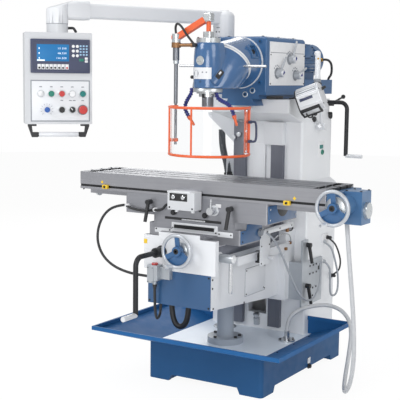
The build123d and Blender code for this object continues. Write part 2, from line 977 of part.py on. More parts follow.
def clamp_lever(root, axis, pin_length, hub_length, hang):
    """Black clamp lever: hub on a pin, with a tapered handle; axis points away from the machine."""
    outward = Vector(*axis)
    with BuildPart() as lever:
        rod(root, outward, lever_hub_radius, hub_length)
        rod(root, -outward, lock_rod_radius, pin_length)
        knuckle = Vector(*root) + outward * (hub_length - lever_hub_radius)
        with BuildSketch(Plane(origin=knuckle, z_dir=hang)):
            Circle(lever_root_radius)
        with BuildSketch(Plane(origin=knuckle + Vector(*hang).normalized() * lever_length, z_dir=hang)):
            Circle(lever_tip_radius)
        loft()
    return lever


for lever_name, lever_z in zip(("knee_clamp_lever_upper", "knee_clamp_lever_lower"), clamp_lever_z):
    pin_reach = clamp_plate_thickness + face_gap - slide_gap
    root = (clamp_outer_x + face_gap, clamp_lever_y, lever_z)
    save(clamp_lever(root, (1, 0, 0), pin_reach, lever_hub_length, knee_lever_hang), lever_name)

# Saddle: channel over the knee's guide, round boss for the carriage
saddle_front_y = table_front_y
with BuildPart() as saddle_casting:
    block(
        (-saddle_half_width, saddle_half_width),
        (saddle_front_y, table_rear_y),
        (saddle_bottom_z, saddle_top_z),
    )
    fillet(saddle_casting.edges().filter_by(Axis.Z), casting_edge)
    channel = saddle_guide_half_width + slide_gap
    block(
        (-channel, channel),
        (saddle_front_y - overcut, table_rear_y + overcut),
        (saddle_bottom_z - overcut, knee_top_z + saddle_guide_height + slide_gap),
        Mode.SUBTRACT,
    )
    # the front corners are cut back round the swivel axis, for the carriage's levers to swing past
    with BuildSketch(Plane.XY.offset(saddle_top_z - lever_relief_depth)):
        with Locations((0, (saddle_front_y + table_centre_y) / 2)):
            Rectangle(2 * saddle_half_width, table_centre_y - saddle_front_y)
        with Locations((0, table_centre_y)):
            Circle(lever_relief_radius, mode=Mode.SUBTRACT)
    extrude(amount=lever_relief_depth, mode=Mode.SUBTRACT)
    rod((0, table_centre_y, saddle_top_z), (0, 0, 1), swivel_boss_radius, swivel_boss_height)
save(saddle_casting, "saddle_casting")

# Carriage: turns on the saddle's boss, carries the table's rib and the nut of the table screw
with BuildPart() as carriage_casting:
    block(
        (-carriage_half_width, carriage_half_width),
        (carriage_front_y, table_rear_y),
        (carriage_bottom_z, carriage_top_z),
    )
    fillet(carriage_casting.edges().filter_by(Axis.Z), casting_edge)
    rib_room = table_rib_half_width + slide_gap
    slot_floor = table_bottom_z - table_rib_depth - slide_gap
    block(
        (-carriage_half_width - overcut, carriage_half_width + overcut),
        (table_centre_y - rib_room, table_centre_y + rib_room),
        (slot_floor, carriage_top_z + overcut),
        Mode.SUBTRACT,
    )
    rod(
        (0, table_centre_y, carriage_bottom_z - overcut),
        (0, 0, 1),
        swivel_boss_radius + running_gap,
        swivel_boss_height + overcut + slide_gap,
        Mode.SUBTRACT,
    )
    nut_y = (table_centre_y - nut_half_width, table_centre_y + nut_half_width)
    block((-nut_half_length, nut_half_length), nut_y, (slot_floor, table_screw_z + nut_half_width))
    rod(
        (-nut_half_length - overcut, table_centre_y, table_screw_z),
        (1, 0, 0),
        table_screw_radius + running_gap,
        2 * (nut_half_length + overcut),
        Mode.SUBTRACT,
    )
    for lever_x in carriage_lever_x:
        rod(
            (lever_x, carriage_front_y - overcut, carriage_lever_z),
            (0, 1, 0),
            lock_rod_radius + running_gap,
            lock_pin_length + pin_end_room,
            Mode.SUBTRACT,
        )
    rod(
        (feed_lever_x, carriage_front_y - overcut, feed_lever_z),
        (0, 1, 0),
        lock_rod_radius + running_gap,
        lock_pin_length + pin_end_room,
        Mode.SUBTRACT,
    )
save(carriage_casting, "carriage_casting")

with BuildPart() as trip_switch:
    trip_back_y = carriage_front_y - trip_bracket_depth
    block(trip_box_x, (carriage_front_y - trip_box_depth, trip_back_y), trip_box_z)
    fillet(trip_switch.edges().filter_by(Axis.Y), trip_box_edge)
    block(
        (trip_box_x[0] + trip_bracket_inset, trip_box_x[1] - trip_bracket_inset),
        (trip_back_y - overcut, carriage_front_y),
        (trip_box_z[0], carriage_top_z - trip_bracket_drop),
    )
save(trip_switch, "trip_switch")

for lever_name, lever_x in zip(("carriage_lever_left", "carriage_lever_right"), carriage_lever_x):
    root = (lever_x, carriage_face_y, carriage_lever_z)
    lever = clamp_lever(root, (0, -1, 0), lock_pin_length, carriage_lever_hub_length, carriage_lever_hang)
    save(lever, lever_name)

with BuildPart() as feed_lever:
    rod((feed_lever_x, carriage_face_y, feed_lever_z), (0, -1, 0), feed_hub_radius, feed_hub_length)
    rod((feed_lever_x, carriage_face_y, feed_lever_z), (0, 1, 0), lock_rod_radius, lock_pin_length)
    feed_rod_y = carriage_face_y - feed_hub_length + 2 * feed_rod_radius
    rod((feed_lever_x, feed_rod_y, feed_lever_z), feed_rod_lean, feed_rod_radius, feed_rod_length)
save(feed_lever, "feed_lever")

# Table: T-slots, end gutters, front groove, the split rib that runs in the carriage, the screw's bearing
with BuildPart() as table_top:
    block(
        (-table_half_length, table_half_length),
        (table_front_y, table_rear_y),
        (table_bottom_z, table_top_z),
    )
    fillet(table_top.edges().filter_by(Axis.Z), table_edge)
    block(
        (-table_half_length, table_half_length),
        (table_centre_y - table_rib_half_width, table_centre_y + table_rib_half_width),
        (table_bottom_z - table_rib_depth, table_bottom_z),
    )
    block(
        (-table_half_length - overcut, table_half_length + overcut),
        (table_centre_y - screw_channel_half_width, table_centre_y + screw_channel_half_width),
        (table_bottom_z - table_rib_depth - overcut, table_bottom_z + screw_channel_height),
        Mode.SUBTRACT,
    )
    t_slot_foot_top = table_top_z - t_slot_neck
    for row in (-1, 0, 1):
        slot_y = table_centre_y + row * t_slot_pitch
        block(
            (-table_half_length - overcut, table_half_length + overcut),
            (slot_y - t_slot_width / 2, slot_y + t_slot_width / 2),
            (t_slot_foot_top - overcut, table_top_z + overcut),
            Mode.SUBTRACT,
        )
        block(
            (-table_half_length - overcut, table_half_length + overcut),
            (slot_y - t_slot_foot_width / 2, slot_y + t_slot_foot_width / 2),
            (t_slot_foot_top - t_slot_foot_height, t_slot_foot_top),
            Mode.SUBTRACT,
        )
    for side in (-1, 1):
        gutter_outer = table_half_length - gutter_margin
        gutter_x = sorted((side * gutter_outer, side * (gutter_outer - gutter_length)))
        block(
            gutter_x,
            (table_front_y + gutter_end_margin, table_rear_y - gutter_end_margin),
            (table_top_z - gutter_depth, table_top_z + overcut),
            Mode.SUBTRACT,
        )
    block(
        (-table_half_length - overcut, table_half_length + overcut),
        (table_front_y - overcut, table_front_y + table_front_groove_depth),
        (table_front_groove_z, table_front_groove_z + table_front_groove_height),
        Mode.SUBTRACT,
    )
    bearing_x = table_bearing_inset - table_half_length
    rod((bearing_x, table_centre_y, table_screw_z), (1, 0, 0), table_bearing_radius, table_bearing_length)
    rod(
        (bearing_x - overcut, table_centre_y, table_screw_z),
        (1, 0, 0),
        table_screw_radius + running_gap,
        table_bearing_length + 2 * overcut,
        Mode.SUBTRACT,
    )
save(table_top, "table_top")

# Drive housing on the right end: end plate, gear case, wheel hub and round cap
with BuildPart() as drive_housing:
    block(
        (table_half_length, drive_plate_end),
        (table_front_y + drive_plate_inset, table_rear_y - drive_plate_inset),
        (drive_plate_bottom_z, table_top_z - drive_plate_drop),
    )
    block(
        (drive_plate_end, drive_box_end),
        (table_centre_y - drive_box_half_depth, table_centre_y + drive_box_half_depth),
        (drive_box_bottom_z, drive_box_top_z),
    )
    rod(
        (drive_hub_x, table_centre_y, drive_hub_z),
        (0, -1, 0),
        drive_hub_radius,
        table_centre_y - drive_hub_front_y,
    )
    rod((drive_box_end, table_centre_y, table_screw_z), (1, 0, 0), drive_cap_radius, drive_cap_length)
    rod(
        (table_half_length - overcut, table_centre_y, table_screw_z),
        (1, 0, 0),
        table_screw_radius + running_gap,
        drive_plate_length + overcut,
        Mode.SUBTRACT,
    )
    rod(
        (drive_hub_x, drive_hub_front_y - overcut, drive_hub_z),
        (0, 1, 0),
        handwheel_shaft_radius + running_gap,
        drive_shaft_length + pin_end_room,
        Mode.SUBTRACT,
    )
save(drive_housing, "drive_housing")

with BuildPart() as table_screw:
    screw_start_x = -table_half_length
    rod(
        (screw_start_x, table_centre_y, table_screw_z),
        (1, 0, 0),
        table_screw_radius,
        drive_plate_end - pin_end_room / 2 - screw_start_x,
    )
save(table_screw, "table_screw")

wheel_y = drive_hub_front_y - face_gap - handwheel_dish
table_handwheel = handwheel((drive_hub_x, wheel_y, drive_hub_z), drive_shaft_length)
save(table_handwheel, "table_handwheel")

# Ram: dovetail tongue, foot, deck and raised tail under the motor
with BuildPart() as ram_slide:
    tongue_low_z = column_head_top_z - ram_tongue_depth
    with BuildSketch(Plane.XZ.offset(-ram_front_y)):
        with BuildLine():
            Polyline(
                (-ram_tongue_half_width, tongue_low_z),
                (ram_tongue_half_width, tongue_low_z),
                (ram_tongue_half_width - ram_tongue_flare, ram_bottom_z),
                (ram_foot_half_width, ram_bottom_z),
                (ram_foot_half_width, ram_shoulder_z),
                (ram_half_width, ram_shoulder_z),
                (ram_half_width, ram_deck_z),
                (-ram_half_width, ram_deck_z),
                (-ram_half_width, ram_shoulder_z),
                (-ram_foot_half_width, ram_shoulder_z),
                (-ram_foot_half_width, ram_bottom_z),
                (ram_tongue_flare - ram_tongue_half_width, ram_bottom_z),
                close=True,
            )
        make_face()
    extrude(amount=-(ram_rear_y - ram_front_y))
    block((-ram_half_width, ram_half_width), (gearbox_rear_y, ram_rear_y), (ram_deck_z, ram_tail_top_z))
save(ram_slide, "ram_slide")

# Gearbox housing, hollow, with the turned seat of the swivel body on its front
with BuildPart() as gearbox_housing:
    block((-ram_half_width, ram_half_width), (ram_front_y, gearbox_rear_y), (ram_deck_z, gearbox_top_z))
    fillet(gearbox_housing.edges().filter_by(Axis.Y).group_by(Axis.Z)[-1], gearbox_edge)
    fillet(gearbox_housing.edges().filter_by(Axis.Z), casting_edge)
    block(
        (gearbox_wall - ram_half_width, ram_half_width - gearbox_wall),
        (ram_front_y + gearbox_wall, gearbox_rear_y - gearbox_wall),
        (ram_deck_z - overcut, gearbox_top_z - gearbox_wall - gearbox_edge / 2),
        Mode.SUBTRACT,
    )
    for lever_y, lever_z in gear_lever_places:
        rod(
            (ram_half_width + overcut, lever_y, lever_z),
            (-1, 0, 0),
            lock_rod_radius + running_gap,
            gearbox_wall + 2 * overcut,
            Mode.SUBTRACT,
        )
save(gearbox_housing, "gearbox_housing")

with BuildPart() as motor:
    rod((motor_x, gearbox_rear_y, motor_z), (0, 1, 0), motor_radius, motor_length)
    fillet(motor.edges().group_by(Axis.Y)[-1], motor_edge)
    foot_start_y = gearbox_rear_y + motor_foot_start
    block(
        (motor_x - motor_foot_half_width, motor_x + motor_foot_half_width),
        (foot_start_y, foot_start_y + motor_foot_length),
        (ram_tail_top_z, motor_z - motor_radius + motor_foot_sink),
    )
    terminal_y = gearbox_rear_y + terminal_box_start
    block(terminal_box_x, (terminal_y, terminal_y + terminal_box_length), terminal_box_z)
save(motor, "motor")

for lever_name, place, tilt in zip(
    ("gear_lever_upper", "gear_lever_left", "gear_lever_right"), gear_lever_places, gear_lever_tilts
):
    lever_y, lever_z = place
    with BuildPart() as gear_lever:
        knob_start = ram_half_width + face_gap
        rod((knob_start, lever_y, lever_z), (1, 0, 0), gear_knob_radius, gear_knob_length)
        chamfer(gear_lever.edges().group_by(Axis.X)[-1], gear_knob_chamfer)
        rod((knob_start, lever_y, lever_z), (-1, 0, 0), lock_rod_radius, gearbox_wall - pin_end_room / 2)
        rod(
            (knob_start + gear_knob_length / 2, lever_y, lever_z),
            (0, -sin(radians(tilt)), cos(radians(tilt))),
            gear_rod_radius,
            gear_knob_radius + gear_rod_length,
        )
    save(gear_lever, lever_name)

# Ram crank: shaft out to the right, arm hanging down, grip pointing right
with BuildPart() as ram_crank:
    crank_inner_x = ram_tongue_half_width + slide_gap + ram_crank_shaft_room
    with BuildLine():
        FilletPolyline(
            (crank_inner_x, ram_crank_y, ram_crank_z),
            (ram_crank_x, ram_crank_y, ram_crank_z),
            (ram_crank_x, ram_crank_y, ram_crank_z - ram_crank_arm),
            radius=ram_crank_bend,
        )
    with BuildSketch(Plane(origin=(crank_inner_x, ram_crank_y, ram_crank_z), z_dir=(1, 0, 0))):
        Circle(ram_crank_shaft_radius)
    sweep()
    rod(
        (ram_crank_x, ram_crank_y, ram_crank_z - ram_crank_arm),
        (1, 0, 0),
        ram_crank_grip_radius,
        ram_crank_grip_length,
    )
save(ram_crank, "ram_crank")

# Lever that locks the ram: hub on a pin in the column head, arm and ball
with BuildPart() as ram_lock_lever:
    lock_face_x = column_head_half_width + face_gap
    rod((lock_face_x, ram_lock_y, ram_lock_z), (1, 0, 0), lever_hub_radius, lever_hub_length)
    rod((lock_face_x, ram_lock_y, ram_lock_z), (-1, 0, 0), lock_rod_radius, lock_pin_length)
    lock_root = Vector(lock_face_x + lever_hub_length - lever_hub_radius, ram_lock_y, ram_lock_z)
    lock_reach = Vector(*ram_lock_reach)
    rod(lock_root, lock_reach, gear_rod_radius, lock_reach.length)
    with Locations(lock_root + lock_reach):
        Sphere(lever_hub_radius)
save(ram_lock_lever, "ram_lock_lever")

# Swivel body: turns about the Y axis on the gearbox, ends in a ring at 45 degrees
tilt_face_y = ram_front_y - slide_gap
nod_rear = Plane(origin=nod_centre - nod_axis * slide_gap / 2, z_dir=nod_axis, x_dir=(1, 0, 0))
nod_front = Plane(origin=nod_centre + nod_axis * slide_gap / 2, z_dir=nod_axis, x_dir=(1, 0, 0))
with BuildPart() as swivel_body:
    with BuildSketch(Plane(origin=(0, tilt_face_y, head_axis_z), z_dir=(0, -1, 0), x_dir=(1, 0, 0))):
        Circle(tilt_ring_radius)
    extrude(amount=tilt_ring_width)
    with BuildSketch(
        Plane(
            origin=(0, tilt_face_y - tilt_ring_width + overcut, head_axis_z),
            z_dir=(0, -1, 0),
            x_dir=(1, 0, 0),
        )
    ):
        Circle(tilt_ring_radius - ring_step)
    with BuildSketch(nod_rear.offset(overcut - nod_ring_width)):
        Circle(nod_ring_radius - ring_step)
    loft()
    with BuildSketch(nod_rear):
        Circle(nod_ring_radius)
    extrude(amount=-nod_ring_width)
save(swivel_body, "swivel_body")

# Spindle head: a cone from the 45 degree ring that runs into the upright spindle housing
housing_height = head_top_z - head_bottom_z
head_cone_radius = nod_ring_radius - ring_step
with BuildPart() as spindle_head:
    with BuildSketch(nod_front):
        RectangleRounded(2 * head_cone_radius, 2 * head_cone_radius, head_cone_radius - round_slack)
    with BuildSketch(
        Plane(
            origin=(0, spindle_y + head_blend_depth, (head_top_z + head_bottom_z) / 2),
            z_dir=(0, -1, 0),
            x_dir=(1, 0, 0),
        )
    ):
        RectangleRounded(
            2 * (spindle_housing_radius - head_blend_inset),
            housing_height - 2 * head_crown,
            min(head_blend_corner, head_blend_room),
        )
    loft()
    with Locations((0, spindle_y, head_bottom_z)):
        Cylinder(spindle_housing_radius, housing_height - head_crown, align=lowest)
    with Locations((0, spindle_y, head_top_z - head_crown)):
        Cone(spindle_housing_radius, head_cap_radius, head_crown, align=lowest)
    rod(
        (0, spindle_y, head_bottom_z),
        (0, 0, -1),
        spindle_housing_radius + head_ring_step,
        head_ring_height,
    )
    rod((0, spindle_y, head_top_z), (0, 0, 1), head_cap_radius, head_cap_height)
    rod(
        (-head_bar_half_length, head_bar_y, head_bar_z),
        (1, 0, 0),
        head_bar_radius,
        2 * head_bar_half_length,
    )
    rod(
        (0, spindle_y, head_bottom_z - head_ring_height - overcut),
        (0, 0, 1),
        spindle_radius + running_gap,
        spindle_length - spindle_nose_length + overcut + spindle_end_room,
        Mode.SUBTRACT,
    )
save(spindle_head, "spindle_head")

# Spindle: nose flange, tip with its tapered mouth, and the drawbar bore behind it
nose_top_z = head_bottom_z - head_ring_height - face_gap
nose_low_z = nose_top_z - spindle_nose_length
tip_low_z = nose_low_z - spindle_tip_length
with BuildPart() as spindle:
    rod((0, spindle_y, nose_low_z), (0, 0, 1), spindle_nose_radius, spindle_nose_length)
    rod((0, spindle_y, nose_low_z), (0, 0, 1), spindle_radius, spindle_length)
    rod((0, spindle_y, tip_low_z), (0, 0, 1), spindle_tip_radius, spindle_tip_length)
    with Locations((0, spindle_y, tip_low_z)):
        Cone(taper_mouth_radius, taper_end_radius, taper_length, align=lowest, mode=Mode.SUBTRACT)
    bore_length = nose_low_z + spindle_length - tip_low_z
    rod((0, spindle_y, tip_low_z), (0, 0, 1), drawbar_radius, bore_length, Mode.SUBTRACT)
save(spindle, "spindle")


def jointed_hose(points):
    """Coolant hose of round beads on a route in an X-Z plane, with its bore and a tapered nozzle."""
    with BuildLine():
        route = FilletPolyline(*points, radius=corner_radii(points))
    count = int(route.length / bead_pitch)
    with BuildPart() as hose:
        stations = []
        for index in range(count):
            for share, radius in (
                (0, bead_neck_radius),
                (0.3, bead_radius),
                (0.7, bead_radius),
                (0.98, bead_neck_radius),
            ):
                stations.append(((index + share) / count, radius))
        for place, radius in stations:
            frame = Plane(origin=route @ place, z_dir=route % place, x_dir=(0, 1, 0))
            with BuildSketch(frame):
                Circle(radius)
        loft(ruled=True)
        tail = Plane(origin=route @ stations[-1][0], z_dir=route % 1, x_dir=(0, 1, 0))
        with BuildSketch(tail):
            Circle(bead_neck_radius)
        with BuildSketch(tail.offset(nozzle_length)):
            Circle(nozzle_tip_radius)
        loft()
        with BuildSketch(Plane(origin=route @ 0, z_dir=route % 0, x_dir=(0, 1, 0))) as bore:
            Circle(hose_bore_radius)
        sweep(bore.sketch, path=route, mode=Mode.SUBTRACT)
        rod(route @ 1, route % 1, hose_bore_radius, nozzle_length + overcut, Mode.SUBTRACT)
    return hose.part


hose_top_z = head_bottom_z - head_ring_height - face_gap
left_hose = jointed_hose(
    (
        (-89, hose_y, hose_top_z + 20),
        (-89, hose_y, hose_top_z - 6),
        (-110, hose_y, hose_top_z - 32),
        (-128, hose_y, hose_top_z - 64),
        (-128, hose_y, hose_top_z - 98),
        (-106, hose_y, hose_top_z - 126),
    )
)
right_hose = jointed_hose(
    (
        (60, hose_y, hose_top_z),
        (60, hose_y, hose_top_z - 24),
        (88, hose_y, hose_top_z - 42),
        (122, hose_y, hose_top_z - 54),
        (150, hose_y, hose_top_z - 78),
        (162, hose_y, hose_top_z - 112),
    )
)
with BuildPart() as coolant_hoses:
    add(left_hose)
    add(right_hose)
save(coolant_hoses, "coolant_hoses")

# Guard post on top of the head
cap_top_z = head_top_z + head_cap_height
half_block = guard_block_width / 2
with BuildPart() as guard_post:
    block(
        (-half_block, half_block),
        (spindle_y - half_block, spindle_y + half_block),
        (cap_top_z, cap_top_z + guard_block_height),
    )
    fillet(guard_post.edges().filter_by(Axis.Z), guard_block_corner)
    rod((0, spindle_y, cap_top_z), (0, 0, 1), guard_post_radius, guard_post_top_z - cap_top_z)
save(guard_post, "guard_post")

# Guard arm: knuckle over the post, sloping bar, lower knuckle, clamp, sleeve and the hanging rod
knuckle_z = guard_post_top_z + slide_gap
half_knuckle = guard_knuckle_size / 2
with BuildPart() as guard_arm:
    block(
        (-half_knuckle, half_knuckle),
        (spindle_y - half_knuckle, spindle_y + half_knuckle),
        (knuckle_z, knuckle_z + guard_knuckle_size),
    )
    fillet(guard_arm.edges(), guard_knuckle_edge)
    knuckle_centre = Vector(0, spindle_y, knuckle_z + half_knuckle)
    arm_tip = Vector(guard_rod_x, guard_rod_y, guard_rod_top_z)
    arm_way = (arm_tip - knuckle_centre).normalized()
    arm_root = knuckle_centre + arm_way * guard_arm_inset
    with BuildSketch(Plane(origin=arm_root, z_dir=arm_way)):
        Rectangle(guard_arm_thickness, guard_arm_thickness)
    extrude(amount=(arm_tip - arm_root).length)
    rod(
        (guard_rod_x, guard_rod_y, guard_rod_top_z - half_knuckle),
        (0, 0, 1),
        half_knuckle,
        guard_knuckle_size,
    )
    rod(
        (guard_rod_x, guard_rod_y, guard_top_z + guard_lug_height),
        (0, 0, 1),
        guard_rod_radius,
        guard_rod_top_z - guard_top_z - guard_lug_height,
    )
    clamp_z = guard_rod_top_z - half_knuckle - guard_clamp_height
    rod((guard_rod_x, guard_rod_y, clamp_z), (0, 0, 1), guard_clamp_radius, guard_clamp_height)
    sleeve_z = clamp_z - guard_sleeve_length
    rod((guard_rod_x, guard_rod_y, sleeve_z), (0, 0, 1), guard_sleeve_radius, guard_sleeve_length)
    rod(
        (guard_rod_x, guard_rod_y, guard_bottom_z + guard_pivot_rise),
        (0, 0, 1),
        guard_pivot_radius,
        guard_top_z + guard_lug_height - guard_bottom_z - guard_pivot_rise,
    )
save(guard_arm, "guard_arm")


def on_guard(angle, z, radius=guard_rail_radius):
    """A point of the guard at an angle round its centre."""
    return (
        guard_centre_x + radius * cos(radians(angle)),
        guard_centre_y + radius * sin(radians(angle)),
        z,
    )


# Guard frame: two half-round rails, upright bars and the hinge lugs that turn on the rod
bar_height = guard_top_z - guard_bottom_z
with BuildPart() as guard_frame:
    for rail_z in (guard_top_z, guard_bottom_z):
        with BuildLine():
            CenterArc((guard_centre_x, guard_centre_y, rail_z), guard_rail_radius, guard_start_angle, 180)
        start_way = (-sin(radians(guard_start_angle)), cos(radians(guard_start_angle)), 0)
        with BuildSketch(Plane(origin=on_guard(guard_start_angle, rail_z), z_dir=start_way)):
            Circle(guard_rail_bar)
        sweep()
    rod(on_guard(guard_bar_angle, guard_bottom_z), (0, 0, 1), guard_upright_radius, bar_height)
    rod(on_guard(guard_start_angle, guard_bottom_z), (0, 0, 1), guard_upright_radius, bar_height)
    end_way = (cos(radians(guard_start_angle)), sin(radians(guard_start_angle)), 0)
    end_angle = guard_start_angle + 180
    with BuildSketch(Plane(origin=on_guard(end_angle, guard_bottom_z - guard_rail_bar), x_dir=end_way)):
        Rectangle(guard_end_bar_thickness, guard_end_bar_width)
    extrude(amount=bar_height + 2 * guard_rail_bar)
    for lug_z in (guard_top_z - guard_lug_height / 2, guard_bottom_z + guard_pivot_rise + guard_lug_height):
        lug_root = Vector(guard_rod_x, guard_rod_y, lug_z + guard_lug_height / 2)
        lug_reach = Vector(*on_guard(guard_start_angle, lug_z + guard_lug_height / 2)) - lug_root
        with BuildSketch(Plane(origin=lug_root, z_dir=lug_reach, x_dir=(0, 0, 1))):
            Rectangle(guard_lug_height, guard_lug_height)
        extrude(amount=lug_reach.length)
        rod(
            (guard_rod_x, guard_rod_y, lug_z),
            (0, 0, 1),
            guard_pivot_radius + guard_lug_wall,
            guard_lug_height,
        )
        rod(
            (guard_rod_x, guard_rod_y, lug_z - overcut),
            (0, 0, 1),
            guard_pivot_radius + running_gap,
            guard_lug_height + 2 * overcut,
            Mode.SUBTRACT,
        )
save(guard_frame, "guard_frame")

# Clear window inside the rails
with BuildPart() as guard_window:
    window_outer = guard_rail_radius - guard_rail_bar
    with BuildSketch(Plane.XY.offset(guard_bottom_z)):
        with Locations(Location((guard_centre_x, guard_centre_y), guard_start_angle + 180)):
            Circle(window_outer)
            Circle(window_outer - guard_window_thickness, mode=Mode.SUBTRACT)
            with Locations((0, window_outer)):
                Rectangle(
                    2 * (window_outer + overcut),
                    2 * (window_outer + guard_window_setback),
                    mode=Mode.SUBTRACT,
                )
    extrude(amount=bar_height)
save(guard_window, "guard_window")

# Lamp arm: bracket pin in the column, rod up to the knuckle behind the lamp's neck
lamp_pin_way = Vector(-sin(radians(lamp_pin_turn)), cos(radians(lamp_pin_turn)), 0)
lamp_neck_top = Vector(lamp_neck_x, lamp_neck_y, lamp_neck_top_z)
arm_knuckle = lamp_neck_top + lamp_pin_way * (lamp_neck_radius + slide_gap)
lamp_face_x = column_right_x + face_gap
with BuildPart() as lamp_arm:
    rod((lamp_face_x, lamp_bracket_y, lamp_bracket_z), (1, 0, 0), lamp_bracket_radius, lamp_bracket_reach)
    rod(
        (lamp_face_x, lamp_bracket_y, lamp_bracket_z),
        (-1, 0, 0),
        lamp_base_radius,
        column_wall - 3 * pin_end_room,
    )
    rod_start = Vector(lamp_face_x + lamp_bracket_reach / 2, lamp_bracket_y, lamp_bracket_z)
    rod_reach = arm_knuckle + lamp_pin_way * lamp_neck_radius - rod_start
    rod(rod_start, rod_reach, lamp_rod_radius, rod_reach.length)
    rod(arm_knuckle, lamp_pin_way, lamp_neck_radius, 2 * lamp_neck_radius)
    rod(arm_knuckle, lamp_pin_way, lamp_pin_radius + running_gap, 2 * lamp_neck_radius, Mode.SUBTRACT)
save(lamp_arm, "lamp_arm")

# Lamp head: neck that hangs on its pin, link and housing
lamp_depth, lamp_height, lamp_length = lamp_body_size
lean = radians(lamp_body_lean)
lamp_turn = radians(lamp_body_turn)
lamp_plane = Plane(
    origin=lamp_body_place,
    z_dir=(cos(lamp_turn) * cos(lean), sin(lamp_turn) * cos(lean), sin(lean)),
    x_dir=(sin(lamp_turn), -cos(lamp_turn), 0),
)
with BuildPart() as lamp_head:
    with BuildSketch(lamp_plane.offset(-lamp_length / 2)):
        RectangleRounded(lamp_depth, lamp_height, lamp_body_edge)
    extrude(amount=lamp_length)
    neck_low = lamp_neck_top - Vector(0, 0, lamp_neck_length)
    rod(neck_low, (0, 0, 1), lamp_neck_radius, lamp_neck_length)
    with Locations(lamp_neck_top):
        Sphere(lamp_neck_radius)
    link_reach = Vector(*lamp_body_place) - neck_low
    rod(neck_low, link_reach, lamp_link_radius, link_reach.length)
    rod(lamp_neck_top, lamp_pin_way, lamp_pin_radius, 3 * lamp_neck_radius)
save(lamp_head, "lamp_head")

# Post of the swing arm on a gusseted shelf at the left of the column
with BuildPart() as arm_post:
    shelf_outer_x = post_x - post_radius
    with BuildSketch(Plane.XZ.offset(-(post_y + post_shelf_half_depth))):
        with BuildLine():
            Polyline(
                (column_left_x, column_body_top_z - post_gusset_height),
                (column_left_x, column_body_top_z - post_shelf_gap),
                (-column_head_half_width - post_shelf_gap, post_shelf_z),
                (shelf_outer_x, post_shelf_z),
                (shelf_outer_x, post_shelf_z - post_shelf_thickness),
                close=True,
            )
        make_face()
    extrude(amount=2 * post_shelf_half_depth)
    rod((post_x, post_y, post_shelf_z), (0, 0, 1), post_radius, post_top_z - post_shelf_z)
save(arm_post, "arm_post")

# Swing arm: rear elbow on the post, tube, sleeve and front elbow over the panel
arm_root_point = Vector(post_x, post_y, arm_z)
arm_reach = Vector(arm_end_x, arm_end_y, arm_z) - arm_root_point
arm_plane = Plane(origin=arm_root_point, z_dir=arm_reach, x_dir=(0, 0, 1))
elbow_low_z = post_top_z + slide_gap
with BuildPart() as panel_arm:
    rod(
        (post_x, post_y, elbow_low_z),
        (0, 0, 1),
        arm_elbow_radius,
        arm_z + arm_height / 2 + arm_elbow_rise - elbow_low_z,
    )
    chamfer(panel_arm.edges().group_by(Axis.Z)[-1], arm_elbow_chamfer)
    with BuildSketch(arm_plane):
        RectangleRounded(arm_height, arm_width, arm_edge)
    extrude(amount=arm_reach.length - arm_tube_setback)
    with BuildSketch(arm_plane.offset(arm_reach.length - arm_sleeve_length - arm_sleeve_setback)):
        RectangleRounded(arm_sleeve_height, arm_sleeve_width, arm_sleeve_edge)
    extrude(amount=arm_sleeve_length)
    rod(
        (arm_end_x, arm_end_y, panel_collar_top_z + slide_gap),
        (0, 0, 1),
        arm_collar_radius,
        arm_z + arm_height / 2 - panel_collar_top_z - slide_gap,
    )
save(panel_arm, "panel_arm")


def panel_hole(x, z):
    """The bore of one control in the panel's front."""
    with Locations(panel_plane.shift_origin(panel_plane.from_local_coords((x, z, 0))).location):
        Cylinder(button_stem_radius + running_gap, 3 * panel_wall, mode=Mode.SUBTRACT)


button_places = [(button_first_x + column * button_pitch, button_row_z) for column in range(1, 5)]
control_places = [(button_first_x + column * button_pitch, control_row_z) for column in range(2, 5)]
dial_place = (dial_x, control_row_z)

# Control panel: sheet box, collar that turns under the arm
with BuildPart() as panel_box:
    with BuildSketch(panel_plane):
        RectangleRounded(panel_width, panel_height, panel_corner)
    extrude(amount=-panel_depth)
    with BuildSketch(panel_plane.offset(-panel_wall)):
        Rectangle(panel_width - 2 * panel_wall, panel_height - 2 * panel_wall)
    extrude(amount=2 * panel_wall - panel_depth, mode=Mode.SUBTRACT)
    for place in (*button_places, *control_places, dial_place):
        panel_hole(*place)
    rod(
        (arm_end_x, arm_end_y, panel_top_z),
        (0, 0, 1),
        panel_collar_radius,
        panel_collar_top_z - panel_top_z,
    )
save(panel_box, "panel_box")

with BuildPart() as panel_handle:
    handle_top = -panel_height / 2
    for side in (-1, 1):
        toe_top = panel_handle_drop - 2 * panel_handle_bar_radius
        with BuildSketch(panel_plane.offset(-panel_bracket_depth)):
            with BuildLine():
                Polyline(
                    *[
                        (side * (panel_handle_half_width - inward), handle_top - down)
                        for inward, down in (
                            (0, 0),
                            (panel_bracket_foot, 0),
                            (panel_bracket_foot, panel_bracket_bar),
                            (panel_bracket_leg, panel_bracket_bar),
                            (panel_bracket_leg + panel_bracket_lean, toe_top),
                            (panel_bracket_toe, toe_top),
                            (panel_bracket_toe, panel_handle_drop + panel_bracket_lip),
                            (panel_bracket_leg, panel_handle_drop + panel_bracket_lip),
                            (0, panel_bracket_bar),
                        )
                    ],
                    close=True,
                )
            make_face()
        extrude(amount=panel_bracket_depth)
    bar_start = (
        panel_bar_setback - panel_handle_half_width,
        handle_top - panel_handle_drop + panel_handle_bar_radius,
        -panel_bracket_depth / 2,
    )
    with BuildSketch(Plane(origin=panel_plane.from_local_coords(bar_start), z_dir=panel_plane.x_dir)):
        Circle(panel_handle_bar_radius)
    extrude(amount=2 * (panel_handle_half_width - panel_bar_setback))
save(panel_handle, "panel_handle")


